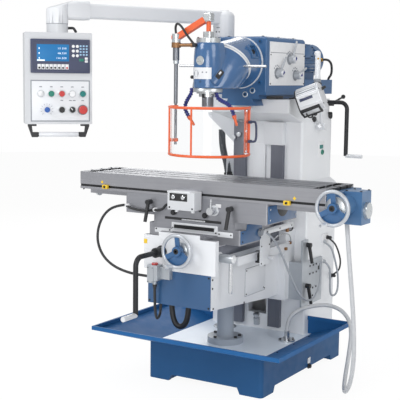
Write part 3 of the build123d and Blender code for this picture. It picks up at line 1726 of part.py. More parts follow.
def control(place, radius, rise, crown):
    """A push button or knob: cap proud of the panel, stem in its bore."""
    x, z = place
    front = panel_plane.shift_origin(panel_plane.from_local_coords((x, z, 0)))
    with BuildPart() as cap:
        with BuildSketch(front.offset(button_travel)):
            Circle(radius)
        extrude(amount=rise)
        fillet(cap.edges().filter_by(GeomType.CIRCLE), crown)
        with BuildSketch(front.offset(button_travel)):
            Circle(button_stem_radius)
        extrude(amount=-button_stem_length)
    return cap


for button_name, place in zip(("button_green", "button_red", "button_white", "button_teal"), button_places):
    save(control(place, button_radius, button_rise, button_crown), button_name)
save(control(control_places[0], button_radius, button_rise, button_crown), "button_black")
save(control(control_places[1], button_radius, button_rise, button_crown), "selector_switch")
save(control(control_places[2], stop_radius, stop_rise, stop_crown), "emergency_stop")
save(control(dial_place, dial_radius, stop_rise, button_crown), "speed_dial")

# Drain hose from under the table drive, down to the floor and over the tray to the drain
drain_hose_route = (
    (771, -450, 943),
    (784, -446, 790),
    (802, -436, 600),
    (812, -420, 420),
    (806, -392, 250),
    (772, -350, 110),
    (712, -280, 34),
    (664, -170, 60),
    (640, -60, 180),
    (620, 20, 300),
    (560, 62, 372),
    (470, 60, 404),
    (384, 10, 396),
    (316, -46, 368),
    (drain_x, drain_y, 314),
    (drain_x, drain_y, base_height + drain_spigot_height + face_gap),
)
with BuildPart() as drain_hose:
    add(cord("drain_hose", drain_hose_route, drain_hose_radius))
save(drain_hose, "drain_hose")

# Switch cable from the carriage's left end to the knee
table_cable_route = (
    (-424, -625, 956),
    (-486, -632, 946),
    (-540, -648, 902),
    (-562, -672, 832),
    (-548, -698, 756),
    (-496, -720, 690),
    (-420, -732, 646),
    (-330, -736, 624),
    (-250, -736, 618),
    (-189, -736, 618),
)
with BuildPart() as table_cable:
    add(cord("table_cable", table_cable_route, table_cable_radius))
save(table_cable, "table_cable")

# Metal conduit from the saddle to the column
saddle_conduit_route = (
    (saddle_half_width + conduit_radius, -376, 850),
    (324, -364, 826),
    (344, -318, 752),
    (358, -262, 660),
    (364, -200, 566),
    (368, -124, 482),
    (370, -36, 430),
    (370, 56, 420),
    (364, 136, 462),
    (350, 196, 530),
    (326, 230, 592),
)
with BuildPart() as saddle_conduit:
    add(cord("saddle_conduit", saddle_conduit_route, conduit_radius))
save(saddle_conduit, "saddle_conduit")

# Cables on the column: hanging loop, short black cable and the thick conduit from the panel arm
cable_face_x = column_foot_half_width + conduit_radius
loop_route = (
    (cable_face_x, 312, 704),
    (354, 312, 684),
    (368, 336, 610),
    (368, 396, 500),
    (366, 396, 390),
    (356, 314, 386),
    (354, 312, 492),
    (352, 312, 570),
    (cable_face_x, 312, 590),
)
black_route = (
    (cable_face_x, 352, 724),
    (350, 356, 706),
    (368, 388, 644),
    (372, 420, 570),
    (352, 428, 508),
    (cable_face_x, 424, 488),
)
panel_conduit_route = (
    (post_x, post_y, 1326),
    (post_x + 4, post_y - 6, 1262),
    (-300, 202, 1190),
    (-272, 198, 1116),
    (-262, 196, 1050),
)
with BuildPart() as column_cables:
    add(cord("loop", loop_route, conduit_radius))
    add(cord("black cable", black_route, black_cable_radius))
    add(cord("panel conduit", panel_conduit_route, panel_conduit_radius))
save(column_cables, "column_cables")

# Cables under the knee: switch cable and oil hose
switch_cable_route = (
    (switch_box_x, switch_y, switch_low_z - switch_gland_length - face_gap),
    (switch_box_x, switch_y, 404),
    (-150, -680, 404),
    (-150, -680, 479),
)
oil_hose_route = (
    (-168, -550, 469),
    (-168, -550, 326),
    (-62, -550, 326),
    (-62, -550, 469),
)
with BuildPart() as knee_cables:
    add(cord("switch cable", switch_cable_route, switch_cable_radius))
    add(cord("oil hose", oil_hose_route, oil_hose_radius))
save(knee_cables, "knee_cables")

print("nodes", len(os.listdir("parts")))
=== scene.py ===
import math

import bpy
from mathutils import Matrix, Vector


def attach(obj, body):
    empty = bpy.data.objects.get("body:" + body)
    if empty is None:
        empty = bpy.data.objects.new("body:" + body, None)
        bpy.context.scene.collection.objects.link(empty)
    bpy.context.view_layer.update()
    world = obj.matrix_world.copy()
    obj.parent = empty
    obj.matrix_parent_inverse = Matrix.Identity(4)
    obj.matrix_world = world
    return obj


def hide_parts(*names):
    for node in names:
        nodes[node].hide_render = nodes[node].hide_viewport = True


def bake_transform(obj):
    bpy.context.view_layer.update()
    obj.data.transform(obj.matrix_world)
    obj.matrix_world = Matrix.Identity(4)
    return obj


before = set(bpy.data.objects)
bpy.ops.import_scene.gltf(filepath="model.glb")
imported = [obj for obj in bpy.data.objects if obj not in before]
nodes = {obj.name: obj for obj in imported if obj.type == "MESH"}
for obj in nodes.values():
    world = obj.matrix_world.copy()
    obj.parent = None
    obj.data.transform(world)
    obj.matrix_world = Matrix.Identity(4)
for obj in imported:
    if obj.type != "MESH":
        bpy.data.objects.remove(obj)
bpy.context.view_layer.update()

bpy.context.scene.view_settings.view_transform = "Standard"
print("frame:", len(nodes), "nodes")

# Camera

viewSetting = {
    "yaw": 31.5, "pitch": 7.1, "roll": 0.7, "place": (2.648, -4.872, 1.638),
    "focalPixels": 995.4, "pictureWidth": 400, "sensorWidth": 36,  # the first two in pixels, the third in mm
}


def addCamera(s):
    yaw, pitch, roll = (math.radians(s[key]) for key in ("yaw", "pitch", "roll"))
    ahead = Vector((-math.sin(yaw) * math.cos(pitch), math.cos(yaw) * math.cos(pitch), -math.sin(pitch)))
    level = Vector((math.cos(yaw), math.sin(yaw), 0))
    upright = level.cross(ahead)
    right = level * math.cos(roll) + upright * math.sin(roll)
    up = upright * math.cos(roll) - level * math.sin(roll)
    data = bpy.data.cameras.new("camera")
    data.sensor_width = s["sensorWidth"]
    data.lens = s["focalPixels"] * data.sensor_width / s["pictureWidth"]
    camera = bpy.data.objects.new("camera", data)
    bpy.context.scene.collection.objects.link(camera)
    camera.matrix_world = Matrix.Translation(s["place"]) @ Matrix((right, up, -ahead)).transposed().to_4x4()
    bpy.context.scene.camera = camera


addCamera(viewSetting)
print("camera set")

# Finishes: each pattern's size is in metres

patternSize = {"drift": 0.35, "dust": 0.045, "peel": 0.004, "patch": 0.12, "cloud": 0.03, "wipe": 0.08,
               "glow": 0.15}


def linear(hexText):
    values = [int(hexText[i:i + 2], 16) / 255 for i in (1, 3, 5)]
    return tuple(v / 12.92 if v <= 0.04045 else ((v + 0.055) / 1.055) ** 2.4 for v in values) + (1.0,)


def addNode(tree, kind, inputs=None, **settings):
    node = tree.nodes.new(kind)
    for key, value in settings.items():
        setattr(node, key, value)
    for key, value in (inputs or {}).items():
        if isinstance(value, bpy.types.NodeSocket):
            tree.links.new(value, node.inputs[key])
        else:
            node.inputs[key].default_value = value
    return node


def newFinish(name, **shaderInputs):
    finish = bpy.data.materials.new(name)
    finish.use_nodes = True
    tree = finish.node_tree
    shader = tree.nodes["Principled BSDF"]
    for key, value in shaderInputs.items():
        shader.inputs[key.replace("_", " ")].default_value = value
    place = addNode(tree, "ShaderNodeTexCoord").outputs["Object"]
    return finish, tree, shader, place


def linkSurface(tree, shader, tone, shine, bump):
    tree.links.new(tone.outputs[2], shader.inputs["Base Color"])
    tree.links.new(shine.outputs["Result"], shader.inputs["Roughness"])
    tree.links.new(bump.outputs["Normal"], shader.inputs["Normal"])


# Two-pack machine enamel, sprayed over filled castings: an even colour with a slow drift in tone,
# a faint orange peel and a soft satin shine that is a little uneven
def enamel(name, main, deep, roughness, peel=0.12, coat=0.15, gloss=0.5):
    finish, tree, shader, place = newFinish(name, Coat_Weight=coat, Coat_Roughness=0.18,
                                            Specular_IOR_Level=gloss)
    drift = addNode(tree, "ShaderNodeTexNoise", {"Vector": place, "Scale": 1 / patternSize["drift"],
                                                 "Detail": 3.0})
    tone = addNode(tree, "ShaderNodeMix", {0: drift.outputs["Fac"], 6: linear(main), 7: linear(deep)},
                   data_type="RGBA")
    dust = addNode(tree, "ShaderNodeTexNoise", {"Vector": place, "Scale": 1 / patternSize["dust"],
                                                "Detail": 4.0})
    shine = addNode(tree, "ShaderNodeMapRange", {"Value": dust.outputs["Fac"], "From Min": 0.3, "From Max": 0.7,
                                                 "To Min": roughness - 0.05, "To Max": roughness + 0.07})
    # Orange peel of 1 to 2 mm, drawn at 4 mm to show
    grain = addNode(tree, "ShaderNodeTexNoise", {"Vector": place, "Scale": 1 / patternSize["peel"],
                                                 "Detail": 2.0})
    bump = addNode(tree, "ShaderNodeBump", {"Height": grain.outputs["Fac"], "Strength": peel,
                                            "Distance": 0.0006})
    linkSurface(tree, shader, tone, shine, bump)
    return finish


# Milled, ground or turned metal: fine tool marks, drawn out where the cut has a direction, and patches of
# slightly duller skin
def machined(name, main, deep, roughness, metallic, marks, depth=0.25):
    finish, tree, shader, place = newFinish(name, Metallic=metallic)
    cut = addNode(tree, "ShaderNodeMapping", {"Vector": place, "Scale": marks})  # marks per metre on each axis
    lines = addNode(tree, "ShaderNodeTexNoise", {"Vector": cut.outputs["Vector"], "Scale": 1.0, "Detail": 3.0})
    patches = addNode(tree, "ShaderNodeTexNoise", {"Vector": place, "Scale": 1 / patternSize["patch"],
                                                   "Detail": 3.0})
    both = addNode(tree, "ShaderNodeMix", {0: 0.45, 2: lines.outputs["Fac"], 3: patches.outputs["Fac"]})
    tone = addNode(tree, "ShaderNodeMix", {0: both.outputs[0], 6: linear(main), 7: linear(deep)},
                   data_type="RGBA")
    shine = addNode(tree, "ShaderNodeMapRange", {"Value": both.outputs[0], "From Min": 0.3, "From Max": 0.7,
                                                 "To Min": roughness - 0.07, "To Max": roughness + 0.09})
    bump = addNode(tree, "ShaderNodeBump", {"Height": lines.outputs["Fac"], "Strength": depth,
                                            "Distance": 0.0003})
    linkSurface(tree, shader, tone, shine, bump)
    return finish


# Moulded plastic or rubber: one slightly cloudy colour, a faint spark-eroded grain and small changes in shine
def moulded(name, main, deep, roughness, grainSize=0.003, depth=0.1, **shaderInputs):
    finish, tree, shader, place = newFinish(name, **shaderInputs)
    cloud = addNode(tree, "ShaderNodeTexNoise", {"Vector": place, "Scale": 1 / patternSize["cloud"],
                                                 "Detail": 3.0})
    tone = addNode(tree, "ShaderNodeMix", {0: cloud.outputs["Fac"], 6: linear(main), 7: linear(deep)},
                   data_type="RGBA")
    grain = addNode(tree, "ShaderNodeTexNoise", {"Vector": place, "Scale": 1 / grainSize, "Detail": 2.0})
    shine = addNode(tree, "ShaderNodeMapRange", {"Value": grain.outputs["Fac"], "From Min": 0.3, "From Max": 0.7,
                                                 "To Min": roughness - 0.05, "To Max": roughness + 0.05})
    bump = addNode(tree, "ShaderNodeBump", {"Height": grain.outputs["Fac"], "Strength": depth,
                                            "Distance": 0.0004})
    linkSurface(tree, shader, tone, shine, bump)
    return finish


blueEnamel = enamel("blue machine enamel", "#3b638f", "#325984", 0.33, coat=0.25, gloss=0.4)
glossEnamel = enamel("polished blue head enamel", "#3f6795", "#375d8a", 0.17, peel=0.05, coat=0.7)
# A lighter copy of the blue enamel for the drive housing: painted light
driveLitEnamel = enamel("blue drive enamel, painted lighter", "#4a7099", "#426890", 0.33, coat=0.25, gloss=0.4)
coverEnamel = enamel("blue cover enamel", "#2d5682", "#264d76", 0.36, coat=0.2)
baseEnamel = enamel("blue base enamel", "#2b5b8a", "#24507c", 0.48, coat=0.0, gloss=0.18)
trayEnamel = enamel("blue tray enamel", "#27629b", "#20578d", 0.48, coat=0.0, gloss=0.18)
whiteEnamel = enamel("white machine enamel", "#dfe1e5", "#d5d8dc", 0.40)
# A lighter copy of the white enamel for the column: painted light
columnLitEnamel = enamel("white column enamel, painted lighter", "#e8eaed", "#dee1e5", 0.40)
panelEnamel = enamel("pale grey panel enamel", "#ccced2", "#c3c6ca", 0.42)
# The tray floor's own light grey, painted lighter and bluer against the shade under the knee
paleGreyLitEnamel = enamel("light grey floor enamel, painted lighter", "#e9f2fd", "#dde7f3", 0.42)
pedestalEnamel = enamel("mid grey enamel", "#a6aeb8", "#9aa2ad", 0.42)
orangeCoat = enamel("orange powder coat", "#e2632f", "#d6592a", 0.40, peel=0.25)
groundIron = machined("ground cast iron", "#adaeb3", "#8f9096", 0.34, 0.75, (3, 90, 90), depth=0.12)
# A darker copy of the ground iron for the table's top faces: painted shade
tableTopShadedIron = machined("ground table top, painted darker", "#8e9095", "#7b7d83", 0.44, 0.6, (3, 110, 60), depth=0.06)
sawnIron = machined("planed cast iron", "#9fa0a6", "#888a90", 0.40, 0.65, (4, 60, 60))
wayIron = machined("scraped slideway iron", "#7d808a", "#6a6d77", 0.42, 0.7, (70, 70, 4))
rodSteel = machined("drawn steel rod", "#85888e", "#6d7076", 0.36, 0.8, (40, 40, 4), depth=0.05)
brightSteel = machined("turned bright steel", "#d3d5d8", "#bcbfc3", 0.24, 0.9, (140, 140, 140))
zincPlate = machined("zinc plated sheet", "#b7bcc2", "#a5abb1", 0.36, 0.55, (25, 25, 25), depth=0.1)
lampAlloy = machined("satin anodised aluminium", "#e2e4e7", "#d3d6da", 0.34, 0.35, (60, 60, 60), depth=0.1)
satinRim = machined("satin turned aluminium", "#c2c6cc", "#b0b5bb", 0.36, 0.5, (60, 60, 60), depth=0.1)
castAlloy = machined("die-cast aluminium", "#d0d4d6", "#bcc1c4", 0.30, 0.8, (60, 60, 60), depth=0.1)
yellowBrass = machined("turned brass", "#c79a3c", "#ad8330", 0.28, 0.9, (120, 120, 120))
dullBrass = machined("dull brass fitting", "#9a7452", "#805d3f", 0.42, 0.7, (90, 90, 90))
blackOxide = machined("blacked steel", "#2c2d30", "#232427", 0.42, 0.35, (90, 90, 90))
blackPlastic = moulded("black nylon", "#222326", "#1a1b1e", 0.45)
blackSheath = moulded("black cable sheath", "#26272a", "#1e1f22", 0.5)
greySheath = moulded("grey conduit sheath", "#a6abb2", "#989da5", 0.45)
darkConduit = moulded("dark grey conduit", "#4b4f55", "#3f4349", 0.5)
paleHose = moulded("pale reinforced hose", "#c6c8cb", "#aeb1b5", 0.36, grainSize=0.004, depth=0.4)
blueBead = moulded("blue acetal bead", "#273080", "#20286c", 0.32)
slatePlastic = moulded("slate bezel plastic", "#3d4460", "#353b55", 0.4)
lightPlastic = moulded("light grey key plastic", "#e6e7e9", "#dadbde", 0.38)
greyPlastic = moulded("grey plastic", "#8f949b", "#82878e", 0.45)
greenPlastic = moulded("green cap plastic", "#1f7f6c", "#19705f", 0.28)
redPlastic = moulded("red cap plastic", "#c8413f", "#b53736", 0.28)
tealPlastic = moulded("teal cap plastic", "#167a75", "#116a66", 0.28)
bluePlastic = moulded("blue knob plastic", "#2b5fae", "#234f97", 0.28)
yellowPlastic = moulded("yellow plastic", "#e8c331", "#d8b227", 0.4)
blueKey = moulded("pale blue key plastic", "#9fc2dd", "#8fb4d2", 0.38)


# Polycarbonate sheet, extruded: clear, with a faint cool tint and a hard gloss that wiping has dulled a little
def clearSheet(name, tint, roughness):
    finish, tree, shader, place = newFinish(name, Base_Color=linear(tint), Transmission_Weight=1.0, IOR=1.2)
    wipe = addNode(tree, "ShaderNodeTexNoise", {"Vector": place, "Scale": 1 / patternSize["wipe"],
                                                "Detail": 3.0})
    shine = addNode(tree, "ShaderNodeMapRange", {"Value": wipe.outputs["Fac"], "To Min": roughness,
                                                 "To Max": roughness + 0.04})
    tree.links.new(shine.outputs["Result"], shader.inputs["Roughness"])
    return finish


clearWindow = clearSheet("clear polycarbonate", "#fbfcfd", 0.01)


# Backlit liquid crystal panel: a matt face with a weak, even glow and a slow drift in tone
def litScreen(name, main, deep, glow):
    finish, tree, shader, place = newFinish(name, Roughness=0.4, Specular_IOR_Level=0.2, Emission_Strength=glow)
    cloud = addNode(tree, "ShaderNodeTexNoise", {"Vector": place, "Scale": 1 / patternSize["glow"],
                                                 "Detail": 1.0})
    tone = addNode(tree, "ShaderNodeMix", {0: cloud.outputs["Fac"], 6: linear(main), 7: linear(deep)},
                   data_type="RGBA")
    tree.links.new(tone.outputs[2], shader.inputs["Base Color"])
    tree.links.new(tone.outputs[2], shader.inputs["Emission Color"])
    return finish


screenBlue = litScreen("backlit blue screen", "#2377ae", "#296aa2", 0.12)
screenWhite = litScreen("backlit white figures", "#e8f2f8", "#dcebf5", 0.4)
print("finishes:", len(bpy.data.materials))

# Floor and light

stageSetting = {"floorRadius": 16.0, "floorTone": "#f4f4f4", "floorGlow": 0.90, "glowLight": 1.03,
                "skyTone": "#ffffff", "skyLight": 0.50}


def addStage(s):
    bpy.ops.object.select_all(action="DESELECT")
    bpy.ops.mesh.primitive_circle_add(vertices=96, radius=s["floorRadius"], fill_type="NGON")
    floor = bpy.context.object
    floor.name = "floor"
    finish, tree, shader = newFinish("pale floor", Base_Color=linear(s["floorTone"]), Roughness=0.9)[:3]
    path = addNode(tree, "ShaderNodeLightPath")
    seen = addNode(tree, "ShaderNodeMath", {0: path.outputs["Is Camera Ray"], 1: path.outputs["Is Glossy Ray"]},
                   operation="MAXIMUM")
    seenThrough = addNode(tree, "ShaderNodeMath", {0: seen.outputs[0], 1: path.outputs["Is Transmission Ray"]},
                          operation="MAXIMUM")
    share = addNode(tree, "ShaderNodeMath", {0: seenThrough.outputs[0], 1: s["floorGlow"]},
                    operation="MULTIPLY")
    glow = addNode(tree, "ShaderNodeEmission", {"Color": linear("#ffffff"), "Strength": s["glowLight"]})
    mixed = addNode(tree, "ShaderNodeMixShader",
                    {0: share.outputs[0], 1: shader.outputs[0], 2: glow.outputs[0]})
    tree.links.new(mixed.outputs[0], tree.nodes["Material Output"].inputs["Surface"])
    floor.data.materials.append(finish)
    world = bpy.data.worlds.new("studio")
    bpy.context.scene.world = world
    world.use_nodes = True
    tree = world.node_tree
    path = addNode(tree, "ShaderNodeLightPath")
    seen = addNode(tree, "ShaderNodeMath",
                   {0: path.outputs["Is Camera Ray"], 1: path.outputs["Is Transmission Ray"]},
                   operation="MAXIMUM")
    soft = addNode(tree, "ShaderNodeBackground", {"Color": linear(s["skyTone"]), "Strength": s["skyLight"]})
    white = addNode(tree, "ShaderNodeBackground", {"Color": linear("#ffffff"), "Strength": 1.0})
    mixed = addNode(tree, "ShaderNodeMixShader", {0: seen.outputs[0], 1: soft.outputs[0], 2: white.outputs[0]})
    tree.links.new(mixed.outputs[0], tree.nodes["World Output"].inputs["Surface"])


addStage(stageSetting)

lampSettings = {
    "keyLight": {"place": (-2.6, -5.2, 4.6), "aim": (0, -0.3, 1.0), "size": 3.0, "watts": 165},
    "frontLight": {"place": (2.4, -5.4, 1.5), "aim": (0, -0.2, 0.6), "size": 2.4, "watts": 84},
    "sideLight": {"place": (4.8, -1.6, 3.4), "aim": (0, -0.2, 1.0), "size": 3.0, "watts": 72},
    "topLight": {"place": (-0.6, 0.4, 5.2), "aim": (0, 0, 1.0), "size": 3.4, "watts": 50},
    "backLight": {"place": (-3.2, 4.6, 3.2), "aim": (0, 0.3, 1.0), "size": 3.0, "watts": 70},
}
for lampName, s in lampSettings.items():
    data = bpy.data.lights.new(lampName, "AREA")
    data.shape = "DISK"
    data.size = s["size"]
    data.energy = s["watts"]
    lamp = bpy.data.objects.new(lampName, data)
    bpy.context.scene.collection.objects.link(lamp)
    lamp.location = s["place"]
    lamp.rotation_euler = (Vector(s["aim"]) - Vector(s["place"])).to_track_quat("-Z", "Y").to_euler()
print("stage and lamps set")

# CAD pieces: each keeps its shape and gets its finishes, face by face where a casting carries two


def dress(nodeName, *finishes, pick=None):
    mesh = nodes[nodeName].data
    mesh.materials.clear()
    for finish in finishes:
        mesh.materials.append(finish)
    for face in mesh.polygons:
        face.material_index = int(pick(face.center * 1000, face.normal)) if pick else 0


def nodRing(c):  # distance from the 45 degree swivel plane, in mm
    return abs((-(c.y + 313) - (c.z - 1705)) / math.sqrt(2))


plainFinishes = {
    "chip_tray": trayEnamel, "screw_pedestal": pedestalEnamel, "drain_flange": brightSteel,
    "arm_post": whiteEnamel,
    "knee_front_cover": coverEnamel, "elevating_screw": brightSteel, "knee_clamp_plate": zincPlate,
    "knee_clamp_lever_upper": blackPlastic,
    "knee_clamp_lever_lower": blackPlastic, "saddle_casting": sawnIron, "carriage_casting": sawnIron,
    "feed_lever": brightSteel, "carriage_lever_left": blackPlastic,
    "carriage_lever_right": blackPlastic, "table_screw": brightSteel, "ram_slide": blueEnamel,
    "gearbox_housing": blueEnamel, "motor": blueEnamel, "ram_lock_lever": blackOxide,
    "guard_frame": orangeCoat, "guard_window": clearWindow,
    "lamp_arm": whiteEnamel, "panel_arm": whiteEnamel, "panel_box": panelEnamel,
    "panel_handle": blackPlastic, "button_green": greenPlastic, "button_red": redPlastic,
    "button_white": lightPlastic, "button_teal": tealPlastic, "button_black": blackPlastic,
    "speed_dial": bluePlastic, "selector_switch": blackPlastic, "emergency_stop": redPlastic,
    "gear_lever_upper": satinRim, "gear_lever_left": satinRim, "gear_lever_right": satinRim,
    "trip_switch": panelEnamel,
}
for nodeName, finish in plainFinishes.items():
    dress(nodeName, finish)

dress("base_casting", baseEnamel, paleGreyLitEnamel, pick=lambda c, n: c.z > 195 and n.z > 0.5)  # floor of the tray
dress("column_casting", columnLitEnamel, wayIron, pick=lambda c, n: c.y < 94.9 and c.z < 1389)  # slideways
# Ground ways on top of the knee
dress("knee_casting", whiteEnamel, groundIron,
      pick=lambda c, n: c.y > -741 and ((c.z > 799 and abs(c.x) < 190) or (c.z > 745 and n.z > 0.6)))
# Painted shade in black at the ends of the top and in the slot along the front, then the worked top in a darker
# copy of the ground iron, also painted shade
dress("table_top", groundIron, blackPlastic, tableTopShadedIron,
      pick=lambda c, n: 1 if (abs(c.x) > 640 and 1095 < c.z < 1115.5)
      or (-611.8 < c.y < -600 and 1024.5 < c.z < 1060)
      else 2 if c.z > 1085 and n.z > 0.9 else 0)
dress("drive_housing", driveLitEnamel, castAlloy, pick=lambda c, n: c.x > 867.5)  # end cap
# The rings at both faces of the swivel body
dress("swivel_body", glossEnamel, whiteEnamel, pick=lambda c, n: c.y > -163 or nodRing(c) < 10.5)
dress("saddle_lock_lever", zincPlate, satinRim, pick=lambda c, n: c.z < 712)  # the rod
dress("spindle", rodSteel, castAlloy, pick=lambda c, n: c.z > 1532)  # its nose
dress("guard_post", castAlloy, orangeCoat, pick=lambda c, n: c.z > 1863)  # painted upper part
# Alloy knuckles, the brass clamp and the rod below it
dress("guard_arm", orangeCoat, castAlloy, dullBrass, rodSteel,
      pick=lambda c, n: 1 if c.z > 1905 and c.x > -26 else 2 if 1779 < c.z < 1807 else 3 if c.z < 1779
      else 1 if c.z < 1860 and c.x < -128 else 0)
dress("switch_box", zincPlate, redPlastic, pick=lambda c, n: c.z > 691)  # button on top
dress("lamp_head", lampAlloy, whiteEnamel, pick=lambda c, n: c.z > 1600)  # its neck
wheelCentres = {"cross_handwheel": (24, -806, 778), "table_handwheel": (792, -674.6, 1039)}
for wheelName, (wheelX, wheelY, wheelZ) in wheelCentres.items():
    wheelFront, wheelBack = wheelY - 10, wheelY + 27
    dress(wheelName, satinRim, blueEnamel,
          pick=lambda c, n: wheelBack > c.y > wheelFront and math.hypot(c.x - wheelX, c.z - wheelZ) < 70.5)
dress("knee_crank", blackOxide, lampAlloy, pick=lambda c, n: c.z < 492 and c.y < -965)  # grip
dress("ram_crank", blackOxide, lampAlloy, pick=lambda c, n: c.z < 1206 and c.x > 374)  # grip
print("CAD pieces dressed")

# Small modelling steps, all in millimetres

toRight, toLeft = (1, 0, 0), (-1, 0, 0)
toFront, toBack = (0, -1, 0), (0, 1, 0)
upward, downward = (0, 0, 1), (0, 0, -1)


def startFresh():
    if bpy.context.object and bpy.context.object.mode == "EDIT":
        bpy.ops.object.mode_set(mode="OBJECT")
    bpy.ops.object.select_all(action="DESELECT")


def takeUp(piece):  # the active piece and the only one selected
    startFresh()
    piece.select_set(True)
    bpy.context.view_layer.objects.active = piece


def shift(x, y, z=0.0):
    return Matrix.Translation((x / 1000, y / 1000, z / 1000))


def slab(low, high, edge=2.0, steps=2):
    startFresh()
    low, high = Vector(low) / 1000, Vector(high) / 1000
    bpy.ops.mesh.primitive_cube_add(size=1, location=(low + high) / 2)
    bpy.context.object.scale = high - low
    bpy.ops.object.transform_apply(location=True, rotation=True, scale=True)
    bpy.ops.object.mode_set(mode="EDIT")
    bpy.ops.mesh.select_all(action="SELECT")
    bpy.ops.mesh.bevel(offset=edge / 1000, segments=steps, affect="EDGES")
    bpy.ops.object.mode_set(mode="OBJECT")
    return bpy.context.object


def turned(profile, sides=32):  # (radius, height) pairs from the foot up, round the piece's own Z
    startFresh()
    radius, height = profile[0]
    bpy.ops.mesh.primitive_circle_add(vertices=sides, radius=radius / 1000, fill_type="NGON",
                                      location=(0, 0, height / 1000))
    bpy.ops.object.transform_apply(location=True, rotation=True, scale=True)
    bpy.ops.object.mode_set(mode="EDIT")
    bpy.ops.mesh.select_all(action="SELECT")
    for nextRadius, nextHeight in profile[1:]:
        bpy.ops.mesh.extrude_region_move(TRANSFORM_OT_translate={"value": (0, 0, (nextHeight - height) / 1000)})
        if nextRadius != radius:
            bpy.ops.transform.resize(value=(nextRadius / radius, nextRadius / radius, 1))
        radius, height = nextRadius, nextHeight
    bpy.ops.mesh.select_all(action="SELECT")
    bpy.ops.mesh.normals_make_consistent(inside=False)
    bpy.ops.object.mode_set(mode="OBJECT")
    return bpy.context.object


def plate(outline, thickness, edge=1.0, steps=2):  # outline in the piece's own XY, thickness along Z
    startFresh()
    bpy.ops.mesh.primitive_circle_add(vertices=len(outline), radius=0.001, fill_type="NGON")
    for vertex, (x, y) in zip(bpy.context.object.data.vertices, outline):
        vertex.co = (x / 1000, y / 1000, 0)
    bpy.ops.object.mode_set(mode="EDIT")
    bpy.ops.mesh.select_all(action="SELECT")
    bpy.ops.mesh.extrude_region_move(TRANSFORM_OT_translate={"value": (0, 0, thickness / 1000)})
    bpy.ops.mesh.select_all(action="SELECT")
    bpy.ops.mesh.normals_make_consistent(inside=False)
    if edge:
        bpy.ops.mesh.bevel(offset=edge / 1000, segments=steps, affect="EDGES")
    bpy.ops.object.mode_set(mode="OBJECT")
    return bpy.context.object


def newCurve(kind, spots, radius, rings):  # spots in metres
    data = bpy.data.curves.new("route", "CURVE")
    data.dimensions = "3D"
    data.bevel_depth = radius / 1000
    data.bevel_resolution = rings
    data.use_fill_caps = True
    spline = data.splines.new(kind)
    spline.points.add(len(spots) - 1)
    for point, spot in zip(spline.points, spots):
        point.co = (*spot, 1)
    curve = bpy.data.objects.new("route", data)
    bpy.context.scene.collection.objects.link(curve)
    takeUp(curve)
    return curve


def routeCurve(points, radius=0.0, sides=6):  # points are the control points of one smooth spline
    curve = newCurve("NURBS", [Vector(place) / 1000 for place in points], radius, sides // 2)
    curve.data.resolution_u = 10
    curve.data.splines[0].order_u = 3
    curve.data.splines[0].use_endpoint_u = True
    return curve


def tube(points, radius, sides=6):
    routeCurve(points, radius, sides)
    bpy.ops.object.convert(target="MESH")
    return bpy.context.object


def routePoints(points):
    curve = routeCurve(points)
    mesh = bpy.data.meshes.new_from_object(curve)
    path = [tuple(v.co) for v in mesh.vertices]
    bpy.data.objects.remove(curve)
    bpy.data.meshes.remove(mesh)
    return path


def along(place, axis, turn=0.0):  # stands a piece's own Z on an axis
    stand = Vector(axis).to_track_quat("Z", "Y").to_matrix().to_4x4()
    return Matrix.Translation(Vector(place) / 1000) @ stand @ Matrix.Rotation(math.radians(turn), 4, "Z")


def settle(piece, name, finish, body, matrix=None, smooth=35):
    takeUp(piece)
    piece.name = piece.data.name = name
    if matrix is not None:
        piece.data.transform(matrix)
    piece.data.materials.clear()
    for one in finish if isinstance(finish, (list, tuple)) else [finish]:
        piece.data.materials.append(one)
    bpy.ops.object.shade_smooth_by_angle(angle=math.radians(smooth))
    if body:
        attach(piece, body)
    return piece


def repeat(source, places):  # one shape copied to each place, then joined
    copies = []
    for matrix in places:
        copy = source.copy()
        copy.data = source.data.copy()
        copy.data.transform(matrix)
        bpy.context.scene.collection.objects.link(copy)
        copies.append(copy)
    bpy.data.objects.remove(source)
    return together(copies)


def together(pieces):
    startFresh()
    for piece in pieces:
        piece.select_set(True)
    bpy.context.view_layer.objects.active = pieces[0]
    if len(pieces) > 1:
        bpy.ops.object.join()
    return pieces[0]


def pickFaces(piece, test):  # opens edit mode with only those faces selected
    takeUp(piece)
    bpy.ops.object.mode_set(mode="EDIT")
    bpy.ops.mesh.select_mode(type="FACE")
    bpy.ops.mesh.select_all(action="DESELECT")
    bpy.ops.object.mode_set(mode="OBJECT")
    for face in piece.data.polygons:
        face.select = test(face)
    bpy.ops.object.mode_set(mode="EDIT")


def pocket(piece, rim, depth):  # insets the face that looks out and sinks it
    top = max(p.center.z for p in piece.data.polygons)
    pickFaces(piece, lambda face: face.center.z > top - 1e-6 and face.normal.z > 0.9)
    bpy.ops.mesh.inset(thickness=rim / 1000)
    bpy.ops.mesh.extrude_region_move(TRANSFORM_OT_translate={"value": (0, 0, -depth / 1000)})
    bpy.ops.object.mode_set(mode="OBJECT")
    return piece


def finishMesh(piece, *modifiers):  # each modifier is (kind, settings), applied in turn
    takeUp(piece)
    for kind, settings in modifiers:
        modifier = piece.modifiers.new(kind.lower(), kind)
        for key, value in settings.items():
            setattr(modifier, key, value)
        bpy.ops.object.modifier_apply(modifier=modifier.name)
    return piece


def capScrew(radius, height):  # socket head screw with a recess for its key
    return pocket(turned([(radius, -1.0), (radius, height * 0.8), (radius * 0.88, height)], 18), radius * 0.4,
                  height * 0.5)


def addSlab(name, low, high, finish, body, slot, edge=1.5, matrix=None):
    return settle(slab(low, high, edge), name, finish, body, matrix)


# One turned shape at each place
def addTurned(name, places, axis, profile, finish, body, sides=32, matrix=None):
    piece = repeat(turned(profile, sides), [along(place, axis) for place in places])
    return settle(piece, name, finish, body, matrix)


def addScrews(name, places, axis, radius, height, body, finish=blackOxide, matrix=None):
    piece = repeat(capScrew(radius, height), [along(place, axis) for place in places])
    return settle(piece, name, finish, body, matrix)


# Cords: each follows its route's spline. One that crosses joints is made in lengths, each of them
# between two neighbours


